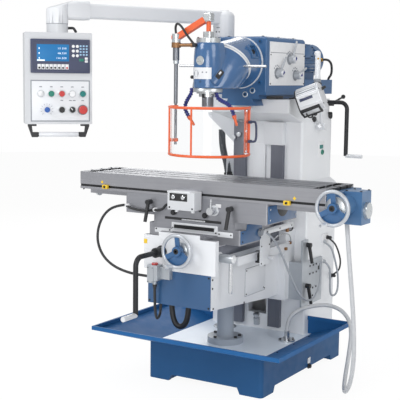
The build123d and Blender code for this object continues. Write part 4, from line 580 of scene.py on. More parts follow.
def addCord(name, points, radius, finish, body=None, blend=None, rib=None, sides=8):
    path = routePoints(points)
    piece = ribbed(path, radius, rib) if rib else tube(points, radius, sides)
    settle(piece, name, finish, body, smooth=60)
    if blend:
        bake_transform(piece)
    return piece


def ribbed(path, radius, rib):  # corrugated conduit: crests and valleys in turn along the spline
    pitch, depth = rib
    spots, carry = [Vector(path[0])], 0.0
    for a, b in zip(path, path[1:]):
        a, b = Vector(a), Vector(b)
        run = (b - a).length
        step = pitch / 2000 - carry
        while step < run:
            spots.append(a.lerp(b, step / run))
            step += pitch / 2000
        carry = run - (step - pitch / 2000)
    spots.append(Vector(path[-1]))
    curve = newCurve("POLY", spots, radius, 3)
    for i, point in enumerate(curve.data.splines[0].points):
        point.radius = 1.0 if i % 2 else 1.0 - depth / radius
    bpy.ops.object.convert(target="MESH")
    return bpy.context.object


drainHose = {
    "radius": 11,
    "lengths": [
        ("table", "carriage", [(771, -450, 943), (784, -446, 790), (793, -441, 695)]),
        ("carriage", "saddle", [(793, -441, 695), (802, -436, 600), (807, -428, 510)]),
        ("saddle", "knee", [(807, -428, 510), (812, -420, 420), (809, -406, 335)]),
        ("knee", "machine_frame", [(809, -406, 335), (806, -392, 250), (772, -350, 110), (712, -280, 34),
                                   (664, -170, 60), (640, -60, 180), (620, 20, 300), (560, 62, 372),
                                   (470, 60, 404), (384, 10, 396), (316, -46, 368), (274, -67, 314),
                                   (274, -67, 245.6)]),
    ],
    "lastBend": ((806, -392, 250), (738, -308, 250)),  # past the second place it stays with the frame
}
for i, (upper, lower, points) in enumerate(drainHose["lengths"]):
    bend = (points[0], points[-1]) if lower != "machine_frame" else drainHose["lastBend"]
    addCord(f"drain_hose_{i + 1}", points, drainHose["radius"], paleHose,
            blend=(upper, lower, *bend), sides=12)
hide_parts("drain_hose")

tableCable = {
    "radius": 7,
    "lengths": [
        ("carriage", "saddle", [(-424, -625, 956), (-486, -632, 946), (-540, -648, 902), (-562, -672, 832),
                                (-548, -698, 756), (-522, -709, 723)]),
        ("saddle", "knee", [(-522, -709, 723), (-496, -720, 690), (-420, -732, 646), (-330, -736, 624),
                            (-250, -736, 618), (-189, -736, 618)]),
    ],
}
for i, (upper, lower, points) in enumerate(tableCable["lengths"]):
    addCord(f"table_cable_{i + 1}", points, tableCable["radius"], blackSheath,
            blend=(upper, lower, points[0], points[-1]))
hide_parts("table_cable")

saddleConduit = {
    "route": [(279, -376, 850), (324, -364, 826), (344, -318, 752), (358, -262, 660), (364, -200, 566),
              (368, -124, 482), (370, -36, 430), (370, 56, 420), (364, 136, 462), (350, 196, 530),
              (326, 230, 592)],
    "radius": 6, "rib": (5.0, 0.9),
}
addCord("saddle_conduit_1", saddleConduit["route"], saddleConduit["radius"], greySheath,
        blend=("saddle", "knee", saddleConduit["route"][0], saddleConduit["route"][-1]),
        rib=saddleConduit["rib"])
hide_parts("saddle_conduit")

columnCables = {
    "column_conduit_loop": {"route": [(306, 312, 704), (354, 312, 684), (368, 336, 610), (368, 396, 500),
                                      (366, 396, 390), (356, 314, 386), (354, 312, 492), (352, 312, 570),
                                      (306, 312, 590)],
                            "radius": 6, "finish": greySheath, "rib": (5.0, 0.9)},
    "column_black_cable": {"route": [(306, 352, 724), (350, 356, 706), (368, 388, 644), (372, 420, 570),
                                     (352, 428, 508), (306, 424, 488)],
                           "radius": 5, "finish": blackSheath, "rib": None},
    "panel_conduit": {"route": [(-322, 216, 1326), (-318, 210, 1262), (-300, 202, 1190), (-272, 198, 1116),
                                (-262, 196, 1050)],
                      "radius": 21, "finish": darkConduit, "rib": (12.0, 2.0)},
}
for cordName, s in columnCables.items():
    addCord(cordName, s["route"], s["radius"], s["finish"], body="machine_frame", rib=s["rib"])
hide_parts("column_cables")

kneeCables = {
    "switch_cable": {"route": [(-128, -771, 586.4), (-128, -771, 404), (-150, -680, 404), (-150, -680, 479)],
                     "radius": 7, "rib": None},
    "oil_hose": {"route": [(-168, -550, 469), (-168, -550, 326), (-62, -550, 326), (-62, -550, 469)],
                 "radius": 15.5, "rib": (9.0, 0.8)},
}
for cordName, s in kneeCables.items():
    addCord(cordName, s["route"], s["radius"], blackSheath, body="knee", rib=s["rib"])
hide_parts("knee_cables")

# Coolant hoses: beads that snap over each other, with an orange nozzle

coolantHoses = {
    "left": [(-89, -500, 1576.4), (-89, -500, 1550.4), (-110, -500, 1524.4), (-128, -500, 1492.4),
             (-128, -500, 1458.4), (-106, -500, 1430.4)],
    "right": [(60, -500, 1556.4), (60, -500, 1532.4), (88, -500, 1514.4), (122, -500, 1502.4),
              (150, -500, 1478.4), (162, -500, 1444.4)],
    "beadRadius": 11, "neckRadius": 7.5, "pitch": 13, "nozzleLength": 56, "tipRadius": 5,
}


def addCoolantHoses(s):
    beads, nozzles = [], []
    for side in ("left", "right"):
        path = [Vector(p) * 1000 for p in routePoints(s[side])]
        spots, left = [], 0.0
        for a, b in zip(path, path[1:]):
            run = (b - a).length
            while left < run:
                spots.append((a.lerp(b, left / run), (b - a).normalized()))
                left += s["pitch"]
            left -= run
        beads += [along(place, aim) for place, aim in spots]
        nozzles.append(along(path[-1], (path[-1] - path[-2]).normalized()))
    r, n, p = s["beadRadius"], s["neckRadius"], s["pitch"]
    bead = turned([(n, -1), (n, 1), (r * 0.9, 2.2), (r, 4.2), (r, 8), (r * 0.86, 10.4), (n * 0.9, 11.4),
                   (n * 0.9, p + 1)], 20)
    string = repeat(bead, beads)
    settle(string, "coolant_beads", blueBead, "head", smooth=50)
    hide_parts("coolant_hoses")
    nozzle = turned([(n, -2), (r, 1), (r, 14), (r * 0.7, 18), (s["tipRadius"] + 1.5, s["nozzleLength"] - 6),
                     (s["tipRadius"], s["nozzleLength"])], 20)
    settle(repeat(nozzle, nozzles), "coolant_nozzles", orangeCoat, "head", smooth=50)


addCoolantHoses(coolantHoses)
print("cords and hoses in place")

# Control panel: places are (across, up, out) on its front face

panelPlace = Matrix(((0.6972, 0, 0.7169, -0.7176), (0.7169, 0, -0.6972, -0.8044), (0, 1, 0, 1.616),
                     (0, 0, 0, 1)))
buttonLeft, buttonPitch, upperRow, lowerRow = -94, 54.7, -79, -162
panelParts = {
    "bezel": ((-145, 28), (163, 203)), "screen": ((-113, 89), (54, 176)), "statusBar": ((-112, 90), (-72, 97)),
    "softKeys": {"left": -111, "right": 53, "count": 8, "low": 47, "high": 74},
    "figures": [("12.500", 155), ("48.250", 130), ("106.000", 105)], "figureHeight": 13, "figureRight": 40,
    "roundKeys": [(x, z) for x in (76, 97) for z in (119, 143, 167)],
    "digitKeys": [(x, z) for x in (114, 130, 146) for z in (124, 139, 154, 169)],
    "faceplate": ((-140, -218), (157, -14)),
    "rings": [(buttonLeft + buttonPitch * i, upperRow) for i in range(5)]
    + [(buttonLeft + buttonPitch * i, lowerRow) for i in (2, 3)],
    "lampSpot": (buttonLeft, upperRow), "stopSpot": (124.8, lowerRow), "stopBore": 25,
    "dialSpot": (-62, lowerRow), "selectorSpot": (70.2, lowerRow),
}


def figures(text, height):
    startFresh()
    bpy.ops.object.text_add()
    words = bpy.context.object
    words.data.body = text
    words.data.align_x = "RIGHT"
    words.data.align_y = "CENTER"
    words.data.size = height / 1000
    words.data.extrude = 0.0004
    words.data.space_character = 1.3
    bpy.ops.object.convert(target="MESH")
    return bpy.context.object


def bored(sheet, s):  # room for the stop button to be pushed in
    drill = turned([(s["stopBore"], -5), (s["stopBore"], 8)], 36)
    drill.data.transform(shift(*s["stopSpot"]))
    finishMesh(sheet, ("BOOLEAN", {"operation": "DIFFERENCE", "object": drill}))
    bpy.data.objects.remove(drill)
    return sheet


def addPanelFace(s):
    def spread(corners, low, high, edge):
        return slab((*corners[0], low), (*corners[1], high), edge)

    settle(pocket(spread(s["bezel"], -1, 10, 4), 7, 4), "display_bezel", slatePlastic, "panel",
           panelPlace)
    settle(spread(s["screen"], 5, 7, 0.5), "display_screen", screenBlue, "panel", panelPlace)
    rows = []
    for text, up in s["figures"]:
        rows.append(figures(text, s["figureHeight"]))
        rows[-1].data.transform(shift(s["figureRight"], up, 7.2))
    marks = [spread(((-103, up - 4), (-98, up + 4)), 7, 7.6, 0.2) for text, up in s["figures"]]
    rows += marks + [spread(s["statusBar"], 7, 7.6, 0.2)]
    settle(together(rows), "display_figures", screenWhite, "panel", panelPlace)
    k = s["softKeys"]
    pitch = (k["right"] - k["left"]) / k["count"]
    caps, dots = [], []
    for i in range(k["count"]):
        left = k["left"] + pitch * i + 1.5
        caps.append(spread(((left, k["low"]), (left + pitch - 3, k["high"])), 5, 8, 1))
        dots.append(turned([(5.4, 7), (5.4, 9), (4.2, 9.8)], 16))
        dots[-1].data.transform(shift(left + pitch / 2 - 1.5, k["low"] + 8))
    settle(together(caps), "soft_keys", lightPlastic, "panel", panelPlace)
    settle(dots.pop(), "soft_key_red", redPlastic, "panel", panelPlace)
    settle(together(dots), "soft_key_dots", blackPlastic, "panel", panelPlace)
    key = turned([(8, 5), (8, 8), (6.6, 9)], 20)
    settle(repeat(key, [shift(x, z) for x, z in s["roundKeys"]]), "round_keys", lightPlastic, "panel",
           panelPlace)
    keys = [spread(((x - 5, z - 4.5), (x + 5, z + 4.5)), 5, 8, 1.2) for x, z in s["digitKeys"]]
    settle(together(keys), "digit_keys", blueKey, "panel", panelPlace)
    settle(spread(((106, 90), (131, 104)), 5, 8, 2), "enter_key", greenPlastic, "panel",
           panelPlace)
    keys = [spread(((136, low), (152, low + 12)), 5, 8, 1.5) for low in (84, 99)]
    settle(together(keys), "side_keys", lightPlastic, "panel", panelPlace)
    (left, low), (right, high) = s["faceplate"]
    frameLine = spread(((left - 6, low - 6), (right + 6, high + 6)), -1, 0.7, 0.3)
    settle(bored(frameLine, s), "faceplate_edge", greyPlastic, "panel", panelPlace)
    settle(bored(spread(s["faceplate"], -1, 1.3, 0.5), s), "faceplate", whiteEnamel, "panel",
           panelPlace)
    ring = turned([(19, -1), (19, 4.5), (18, 5.4), (16.2, 5.4), (16.2, 1.1)], 32)
    settle(repeat(ring, [shift(x, z) for x, z in s["rings"]]), "button_rings", castAlloy, "panel",
           panelPlace)
    lens = turned([(15.5, 1), (15.5, 7), (13.5, 10), (9, 12.2), (3, 13)], 32)
    lens.data.transform(shift(*s["lampSpot"]))
    settle(lens, "signal_lamp", lightPlastic, "panel", panelPlace, smooth=60)
    collar = turned([(27, -1), (27, 3.6), (26, 4.4), (23.2, 4.4), (23.2, 0.2)], 36)
    collar.data.transform(shift(*s["stopSpot"]))
    settle(collar, "stop_collar", greyPlastic, "panel", panelPlace)
    turn = shift(*s["selectorSpot"]) @ Matrix.Rotation(math.radians(40), 4, "Z")
    addSlab("selector_mark", (-2.2, -1, 17), (2.2, 12, 18.2), lightPlastic, "selector_switch", "white_cap", 0.5,
            panelPlace @ turn)
    ticks = []
    for i in range(11):
        tick = slab((-0.9, 26, 1), (0.9, 34, 2.2), 0.3)
        tick.data.transform(shift(*s["dialSpot"]) @ Matrix.Rotation(math.radians(-135 + 27 * i), 4, "Z"))
        ticks.append(tick)
    settle(together(ticks), "dial_ticks", greyPlastic, "panel", panelPlace)
    tags = [spread(((x - 7, -45.5), (x + 7, -40.5)), 1, 2.2, 0.4)
            for x in (buttonLeft + buttonPitch * i for i in range(5))]
    tags += [spread(((x - 7, -116), (x + 7, -111)), 1, 2.2, 0.4) for x in (15.4, 60, 80, 124.8)]
    settle(together(tags), "blank_tags", greyPlastic, "panel", panelPlace)


addPanelFace(panelParts)

panelExtras = {
    "sleeve": {"half": 104, "radius": 13, "up": -291.5, "out": -15}, "seam": (-757, -766, 1900),
    "lever": [(50, 262, -55), (72, 264, -50), (88, 262, -46), (97, 240, -44)],
    "knobOut": 12.2,  # the knobs stand this far out of the face
}


def addPanelExtras(s):
    grip = s["sleeve"]
    half, radius = grip["half"], grip["radius"]
    profile = [(radius - 1, -half), (radius, -half + 1.5), (radius, half - 1.5), (radius - 1, half)]
    settle(turned(profile, 32), "handle_sleeve", whiteEnamel, "panel",
           panelPlace @ along((0, grip["up"], grip["out"]), toRight))
    addTurned("collar_seam", [s["seam"]], upward, [(56.4, -2.2), (57.3, -1.6), (57.3, 0.6), (56.4, 1.2)],
              greyPlastic, "panel", 64)
    settle(tube(s["lever"], 7, 8), "collar_lever", blackPlastic, "panel", panelPlace)
    stand = panelPlace @ shift(70.1, lowerRow, s["knobOut"]) @ Matrix.Rotation(math.radians(35), 4, "Z")
    addSlab("selector_pointer", (-1.6, 2, -2), (1.6, 13.5, 0.6), lightPlastic, "selector_switch", "white_cap",
            0.4, stand)
    stand = panelPlace @ shift(-62, lowerRow, s["knobOut"])
    addSlab("dial_pointer", (-1.3, 4, -2), (1.3, 12, 0.6), lightPlastic, "speed_dial", "white_cap", 0.4, stand)
    addSlab("panel_back_cover", (-150, -205, -112.5), (150, 205, -108), whiteEnamel, "panel", "white_paint",
            1.5, panelPlace)
    screws = [shift(x, z, -112.2) @ Matrix.Rotation(math.pi, 4, "X") for x in (-140, 140)
              for z in (-195, 0, 195)]
    settle(repeat(capScrew(5, 3), screws), "panel_back_screws", blackOxide, "panel", panelPlace)


addPanelExtras(panelExtras)
print("panel face done")

# Spindle head casting: a barrel with flat sides runs into a cone that stands on the 45 degree ring

headShell = {
    "axis": (0, -487), "radius": 75, "back": -432, "low": 1575.5,
    "barrel": [(1690, 1.0), (1735, 0.985), (1772, 0.95), (1796, 0.895), (1809, 0.83)],
    "ring": (0, -313, 1705), "slope": (0, -1, -1), "cone": [(136.5, 1.2), (133, 40), (126, 90), (115, 150),
                                                            (101, 205), (84, 260), (60, 320)],
    "voxel": 3.5, "soften": 9, "flange": [(136, 0.6), (137.4, 1.6), (137.4, 9), (136, 10.4)],
    "foot": [(74, 1556.5), (76, 1558), (76, 1573), (74.5, 1575.5)],
    "cap": [(62, 1806), (62, 1827.5), (59.5, 1830), (48, 1830)], "bar": (-350, 1691, 262),
    "recess": {"top": (157, -600, 1675), "foot": (97, -600, 1596), "middle": (129, -600, 1635),
               "aim": (-0.512, 0.868, 0), "half": (27, 52), "depth": 11},
    "knob": (-73, -495, 1632),
}


def headBarrel(s):
    (x, y), radius = s["axis"], s["radius"]
    turns = [math.radians(180 + 7.5 * i) for i in range(25)]
    outline = [(x + radius * math.cos(t), y + radius * math.sin(t)) for t in turns] + [(x + radius, s["back"]),
                                                                                       (x - radius, s["back"])]
    barrel = plate(outline, s["barrel"][0][0] - s["low"], 0)
    barrel.data.transform(shift(0, 0, s["low"]))
    top = s["barrel"][0][0] / 1000
    pickFaces(barrel, lambda face: face.center.z > top - 1e-5)
    for (height, share), (lastHeight, lastShare) in zip(s["barrel"][1:], s["barrel"]):
        bpy.ops.mesh.extrude_region_move(TRANSFORM_OT_translate={"value": (0, 0, (height - lastHeight) / 1000)})
        bpy.ops.transform.resize(value=(share / lastShare, share / lastShare, 1),
                                 center_override=(x / 1000, y / 1000, height / 1000))
    bpy.ops.object.mode_set(mode="OBJECT")
    return barrel


def headCone(s):
    cone = turned(s["cone"], 64)
    cone.data.transform(along(s["ring"], s["slope"]))
    pickFaces(cone, lambda face: True)
    bpy.ops.mesh.bisect(plane_co=(0, 0, s["low"] / 1000), plane_no=(0, 0, 1), use_fill=True, clear_inner=True)
    bpy.ops.object.mode_set(mode="OBJECT")
    return cone


def addHeadWindow(shell, s):  # a rounded dent in the blend, with the oil gauge in its upper half
    aim = Vector(s["aim"]).normalized()
    top, foot, middle = (shell.ray_cast(Vector(s[key]) / 1000, aim)[1] for key in ("top", "foot", "middle"))
    out = (shell.ray_cast(Vector(s["middle"]) / 1000, aim)[2] - aim).normalized()
    side = (top - foot).cross(out).normalized()
    stand = Matrix((side, out.cross(side), out)).transposed().to_4x4()
    stand.translation = middle
    (wide, tall), depth = s["half"], s["depth"]
    cutter = slab((-wide, -tall, -depth), (wide, tall, 45), 20, 5)
    cutter.data.transform(stand)
    finishMesh(shell, ("BOOLEAN", {"operation": "DIFFERENCE", "object": cutter}))
    bpy.data.objects.remove(cutter)
    settle(slab((-21, -8, -depth - 4), (21, 42, 1.5 - depth), 3, 3), "head_window_glass", blackPlastic, "head",
           stand)
    settle(slab((-8, 14, -depth), (2, 31, 2.6 - depth), 0.8), "head_window_gauge", lightPlastic, "head",
           stand)


def addHeadShell(s):
    shell = together([headBarrel(s), headCone(s)])
    finishMesh(shell, ("REMESH", {"mode": "VOXEL", "voxel_size": s["voxel"] / 1000}),
               ("SMOOTH", {"factor": 0.5, "iterations": s["soften"]}))
    addHeadWindow(shell, s["recess"])
    settle(shell, "head_shell", glossEnamel, "head", smooth=60)
    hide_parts("spindle_head")
    settle(turned(s["flange"], 96), "head_flange", whiteEnamel, "head",
           along(s["ring"], s["slope"]))
    centre = shift(*s["axis"])
    settle(turned(s["foot"], 72), "head_foot_ring", castAlloy, "head", centre)
    settle(turned(s["cap"], 64), "head_cap", castAlloy, "head", centre)
    y, z, half = s["bar"]
    addTurned("head_bar", [(-half, y, z)], toRight, [(5.5, 0), (7, 1.5), (7, 2 * half - 1.5), (5.5, 2 * half)],
              brightSteel, "head", 24)
    addTurned("head_side_knob", [s["knob"]], (-1, -0.2, 0), [(7, -3), (7, 8), (9, 10), (9, 20), (6, 24)],
              blackPlastic, "head", 24)


addHeadShell(headShell)

# Head, ram and gearbox


def wrapped(centre, radius, angles, heights, thickness):  # a thin sheet bent round an upright axis
    startFresh()
    bpy.ops.mesh.primitive_grid_add(x_subdivisions=16, y_subdivisions=2, size=1)
    for vertex in bpy.context.object.data.vertices:
        turn = math.radians(angles[0] + (angles[1] - angles[0]) * (vertex.co.x + 0.5))
        up = heights[0] + (heights[1] - heights[0]) * (vertex.co.y + 0.5)
        vertex.co = ((centre[0] + radius * math.cos(turn)) / 1000, (centre[1] + radius * math.sin(turn)) / 1000,
                     up / 1000)
    bpy.ops.object.mode_set(mode="EDIT")
    bpy.ops.mesh.select_all(action="SELECT")
    bpy.ops.mesh.extrude_region_shrink_fatten(TRANSFORM_OT_shrink_fatten={"value": thickness / 1000})
    bpy.ops.mesh.select_all(action="SELECT")
    bpy.ops.mesh.normals_make_consistent(inside=False)
    bpy.ops.object.mode_set(mode="OBJECT")
    return bpy.context.object


headParts = {
    "axis": (0, -487), "radius": 75, "plateAngles": (-130, -46), "plateHeights": (1623, 1681),
    "badge": (-3, -561.5, 1716), "screwHole": (0, -561.5, 1609),
    "noseHoles": (44, 1541), "capScrews": (54, 1830),  # radius and height
}


def addHeadParts(s):
    settle(wrapped(s["axis"], s["radius"] + 0.3, s["plateAngles"], s["plateHeights"], 1.6), "head_plate",
           whiteEnamel, "head")
    ring = [(17, -1), (17, 2.6), (15.6, 2.6), (15.6, 1.9)]
    addTurned("head_plate_ring", [(-26, -556.5, 1650)], (-0.35, -0.94, 0), ring, greyPlastic, "head")
    dot = turned([(4, -1), (4, 2.4), (3, 3)], 16)
    settle(repeat(dot, [along((12, -561, 1657), (0.16, -0.99, 0)),
                        along((31, -555.3, 1657), (0.41, -0.91, 0))]),
           "head_plate_dots", greyPlastic, "head")
    badge = [(23, -4), (23, 1.5), (21.5, 2.6), (18, 2.6), (18, 1.6)]
    addTurned("blank_badge", [s["badge"]], (-0.04, -1, 0), badge, castAlloy, "head", 40)
    screw = [(5, -3), (5, 1), (3.6, 1.2), (3.6, -1)]
    addTurned("head_screw", [s["screwHole"]], toFront, screw, blackOxide, "head", 16)
    x, y = s["axis"]
    keys = []
    for low, high in ((36, 46.5), (-46.5, -36)):
        keys.append(slab((-8, low, 1528), (8, high, 1549), 1.5))
        keys[-1].data.transform(shift(x, y))
    settle(together(keys), "drive_keys", blackOxide, "spindle")
    turns = [math.radians(30 + 60 * i) for i in range(6)]
    slots = [shift(x, y) @ Matrix.Rotation(turn, 4, "Z") for turn in turns]
    settle(repeat(slab((24, -4, 1490), (29.6, 4, 1522), 1.5), slots), "nose_slots", blackOxide, "spindle")
    radius, height = s["noseHoles"]
    hole = [(7, -3), (7, 0.9), (5, 1.1), (5, 0.2)]
    for turn in turns:
        out = (math.cos(turn), math.sin(turn), 0)
        place = (x + radius * out[0], y + radius * out[1], height)
        addTurned(f"nose_hole_{round(math.degrees(turn))}", [place], out, hole, blackOxide, "spindle",
                  20)
    collar = turned([(58, 1549), (58, 1557), (52, 1558.5)], 40)
    settle(collar, "spindle_collar", castAlloy, "head", shift(x, y))
    radius, height = s["capScrews"]
    turns = [math.radians(45 + 90 * i) for i in range(4)]
    places = [(x + radius * math.cos(turn), y + radius * math.sin(turn), height) for turn in turns]
    addScrews("head_cap_screws", places, upward, 5, 4, "head")


addHeadParts(headParts)

gearParts = {
    "face": 158, "plate": ((-118, 1592), (306, 1825)), "header": 1768,
    "levers": [(114, 1735), (-32, 1658), (188, 1648)],
    "bolts": [(x * side, -150, z) for side in (1, -1) for x, z in ((117, 1825), (119, 1607))]
    + [(76, -150, 1564), (32, -150, 1543)],
    "washers": [(76, -150, 1564), (32, -150, 1543)],
    "names": ["gear_lever_upper", "gear_lever_left", "gear_lever_right"], "tilts": [-26, -38, -68],
    "hubEnd": 200.5,
    "markRadius": 42, "pointer": [(-9.5, -12.5), (9.5, -12.5), (0, 16)],
}


def addGearParts(s):
    (front, low), (rear, high) = s["plate"]
    face, header, reach = s["face"], s["header"], s["markRadius"]
    addSlab("gear_plate", (face - 1, front, low), (face + 3, rear, high), lightPlastic, "ram", "white_paint",
            1.2)
    addSlab("gear_plate_line", (face + 2, front + 6, header - 1.5), (face + 4, rear - 6, header + 1.5),
            greyPlastic, "ram", "grey_plate", 0.5)
    turns = [math.radians(40 + 25 * i) for i in range(5)]
    marks = [(face + 3, y + reach * math.cos(t), z + reach * math.sin(t))
             for y, z in s["levers"] for t in turns]
    addTurned("gear_marks", marks, toRight, [(4.5, -1), (4.5, 0.9), (3.8, 1.3)], greyPlastic, "ram",
              14)
    bezel = [(30, -1), (30, 1.6), (28.5, 2.4), (23.5, 2.4), (23.5, 1)]
    addTurned("gear_lever_bezels", [(face + 3, y, z) for y, z in s["levers"]], toRight, bezel, greyPlastic,
              "ram", 40)
    for name, (y, z), tilt in zip(s["names"], s["levers"], s["tilts"]):
        stand = along((s["hubEnd"], y, z), toRight, 180 + tilt)  # the pointer looks away from the lever's rod
        settle(turned([(17, -1), (17, 0.8), (16.4, 1.2)], 32), name + "_face", lightPlastic, name,
               stand)
        settle(plate(s["pointer"], 2.2, 0.3), name + "_pointer", blueBead, name, stand)
    addScrews("gearbox_bolts", s["bolts"], toFront, 11, 5, "ram", baseEnamel)
    addTurned("gearbox_bolt_keys", s["bolts"], toFront, [(4.5, -1), (4.5, 5.2), (3, 5.4)], blackOxide, "ram",
              6)
    addTurned("gearbox_washers", s["washers"], toFront, [(16, -1), (16, 1.5), (14.5, 2.4), (11.5, 2.4)],
              castAlloy, "ram", 32)
    # Black strip along the ram's lower side: the lock lever, with painted shade of the dovetail gap under the
    # ram
    addSlab("ram_lock_and_shade_strip", (157, -146, 1520), (167, 40, 1535), blackPlastic, "ram", "black_handle", 4)
    corners = [(face + 3, y, z) for y in (front + 9, rear - 9) for z in (low + 9, header - 12)]
    addScrews("gear_plate_screws", corners, toRight, 4, 2, "ram")
    addSlab("gearbox_lid", (-120, -112, 1849), (120, 280, 1853), blueEnamel, "ram", "blue_paint")
    addScrews("gearbox_lid_screws", [(x, y, 1852.5) for x in (-105, 105) for y in (-97, 84, 265)], upward, 7, 4,
              "ram")
    addSlab("gearbox_side_cover", (-161, -80, 1610), (-157, 280, 1810), blueEnamel, "ram", "blue_paint")
    addScrews("gearbox_side_screws", [(-160.6, y, z) for y in (-68, 100, 268) for z in (1622, 1798)], toLeft, 6,
              3.5, "ram")


addGearParts(gearParts)

swivelParts = {"centre": (0, 1712), "pocketAngles": [25, 155], "radius": 137, "along": -232, "sink": 0.985}


def addSwivelParts(s):
    rims, bolts = [], []
    x, z = s["centre"]
    for angle in s["pocketAngles"]:
        turn = math.radians(angle)
        out = (math.cos(turn), 0, math.sin(turn))
        stand = along((x + s["radius"] * out[0] * s["sink"], s["along"], z + s["radius"] * out[2] * s["sink"]),
                      out)
        rims.append(stand)
        bolts.append(stand @ shift(0, 0, -10))
    settle(repeat(pocket(slab((-34, -40, -30), (34, 40, 5), 4, 3), 5, 16), rims), "swivel_pockets", blueEnamel,
           "swivel")
    # Black floors in the pockets round the bolts: painted shade
    pocketShades = repeat(slab((-28, -34, -14), (28, 34, -8), 1), rims)
    settle(pocketShades, "swivel_pocket_shade", blackOxide, "swivel")
    settle(repeat(capScrew(14, 12), bolts), "swivel_bolts", blackOxide, "swivel")


addSwivelParts(swivelParts)

motorParts = {"centre": (0, 1740), "radius": 92, "start": 322, "end": 700, "fins": 26}


def addMotorParts(s):
    cx, cz = s["centre"]
    places = []
    radius, end = s["radius"], s["end"]
    for i in range(s["fins"]):
        turn = 360 / s["fins"] * i
        away = abs((turn + 180) % 360 - 180)  # none at the top and at the foot
        if away < 70 or away > 110:
            places.append(shift(cx, 0, cz) @ Matrix.Rotation(math.radians(-turn), 4, "Y"))
    fin = slab((radius - 4, s["start"] + 26, -2.4), (radius + 9, end - 76, 2.4), 1)
    settle(repeat(fin, places), "motor_fins", blueEnamel, "ram")
    cowl = [(radius + 4, -10), (radius + 6, -8), (radius + 6, 64), (radius - 6, 76), (40, 78), (38, 74)]
    addTurned("motor_cowl", [(cx, end - 62, cz)], toBack, cowl, blueEnamel, "ram", 48)
    slots = []
    for i in range(5):
        half, middle = 52 - i * 6, cz - 30 + i * 15
        slots.append(slab((-half, end + 14.5, middle - 2), (half, end + 16.6, middle + 2), 0.6))
    settle(together(slots), "motor_vents", blackPlastic, "ram")
    addSlab("terminal_lid", (104, 414, 1754), (108, 522, 1820), blueEnamel, "ram", "blue_paint")
    addScrews("terminal_screws", [(107.6, y, z) for y in (421, 515) for z in (1761, 1813)], toRight, 4, 2.5,
              "ram")
    gland = [(13, -3), (13, 10), (10, 14), (9, 24)]
    addTurned("motor_gland", [(70, 528, 1787)], toBack, gland, blackPlastic, "ram", 20)
    addTurned("motor_cable_gland", [(94, 655, 1742)], (1, 0.2, 0.1),
              [(9, -3), (9, 6), (11, 7), (11, 15), (8, 18)], yellowBrass, "ram", 20)
    loop = [(108, 658, 1743), (136, 664, 1748), (158, 678, 1728), (162, 684, 1690), (158, 684, 1654),
            (146, 682, 1640), (140, 680, 1624)]
    addCord("motor_cable", loop, 7, blackSheath, body="ram")


addMotorParts(motorParts)
print("head, gearbox and motor done")

# Work lamp: (forward, down, along) from the middle of its housing

lampPlace = Matrix(((0.1736, 0.3530, 0.9194, 0.361), (-0.9848, 0.0622, 0.1621, -0.018),
                    (0, -0.9336, 0.3584, 1.520), (0, 0, 0, 1)))
lampParts = {
    "half": (56, 71.5), "corner": 48, "ribAngles": [-118, -104, -90, -76, -62, -48, -34, -20, 118, 104],
    "grooveShadeAngles": [-111, -97, -83, -69, -55, -41, -27], "ribHalf": 57,
    "frontRibs": [-23, 24], "namePlate": ((-18, -47), (-3, 27)), "windowAngle": 52,
    "seal": (-67, -60), "cap": (59, 68),
}


def lampOutline(s, grow):  # rounded section of the housing, grown outwards
    points = []
    corner, (deep, tall) = s["corner"], s["half"]
    for signX, signY, start in ((1, 1, 0), (-1, 1, 90), (-1, -1, 180), (1, -1, 270)):
        for i in range(9):
            turn = math.radians(start + 90 * i / 8)
            points.append((signX * (deep - corner) + (corner + grow) * math.cos(turn),
                           signY * (tall - corner) + (corner + grow) * math.sin(turn)))
    return points


def lampStands(s, angles):  # places on the rounded corners, each facing out
    deep, tall = (half - s["corner"] for half in s["half"])
    stands = []
    for angle in angles:
        turn = math.radians(angle)
        centre = (math.copysign(deep, math.cos(turn)), math.copysign(tall, math.sin(turn)))
        stands.append(along((centre[0] + s["corner"] * math.cos(turn),
                             centre[1] + s["corner"] * math.sin(turn), 0),
                            (math.cos(turn), math.sin(turn), 0)))
    return stands


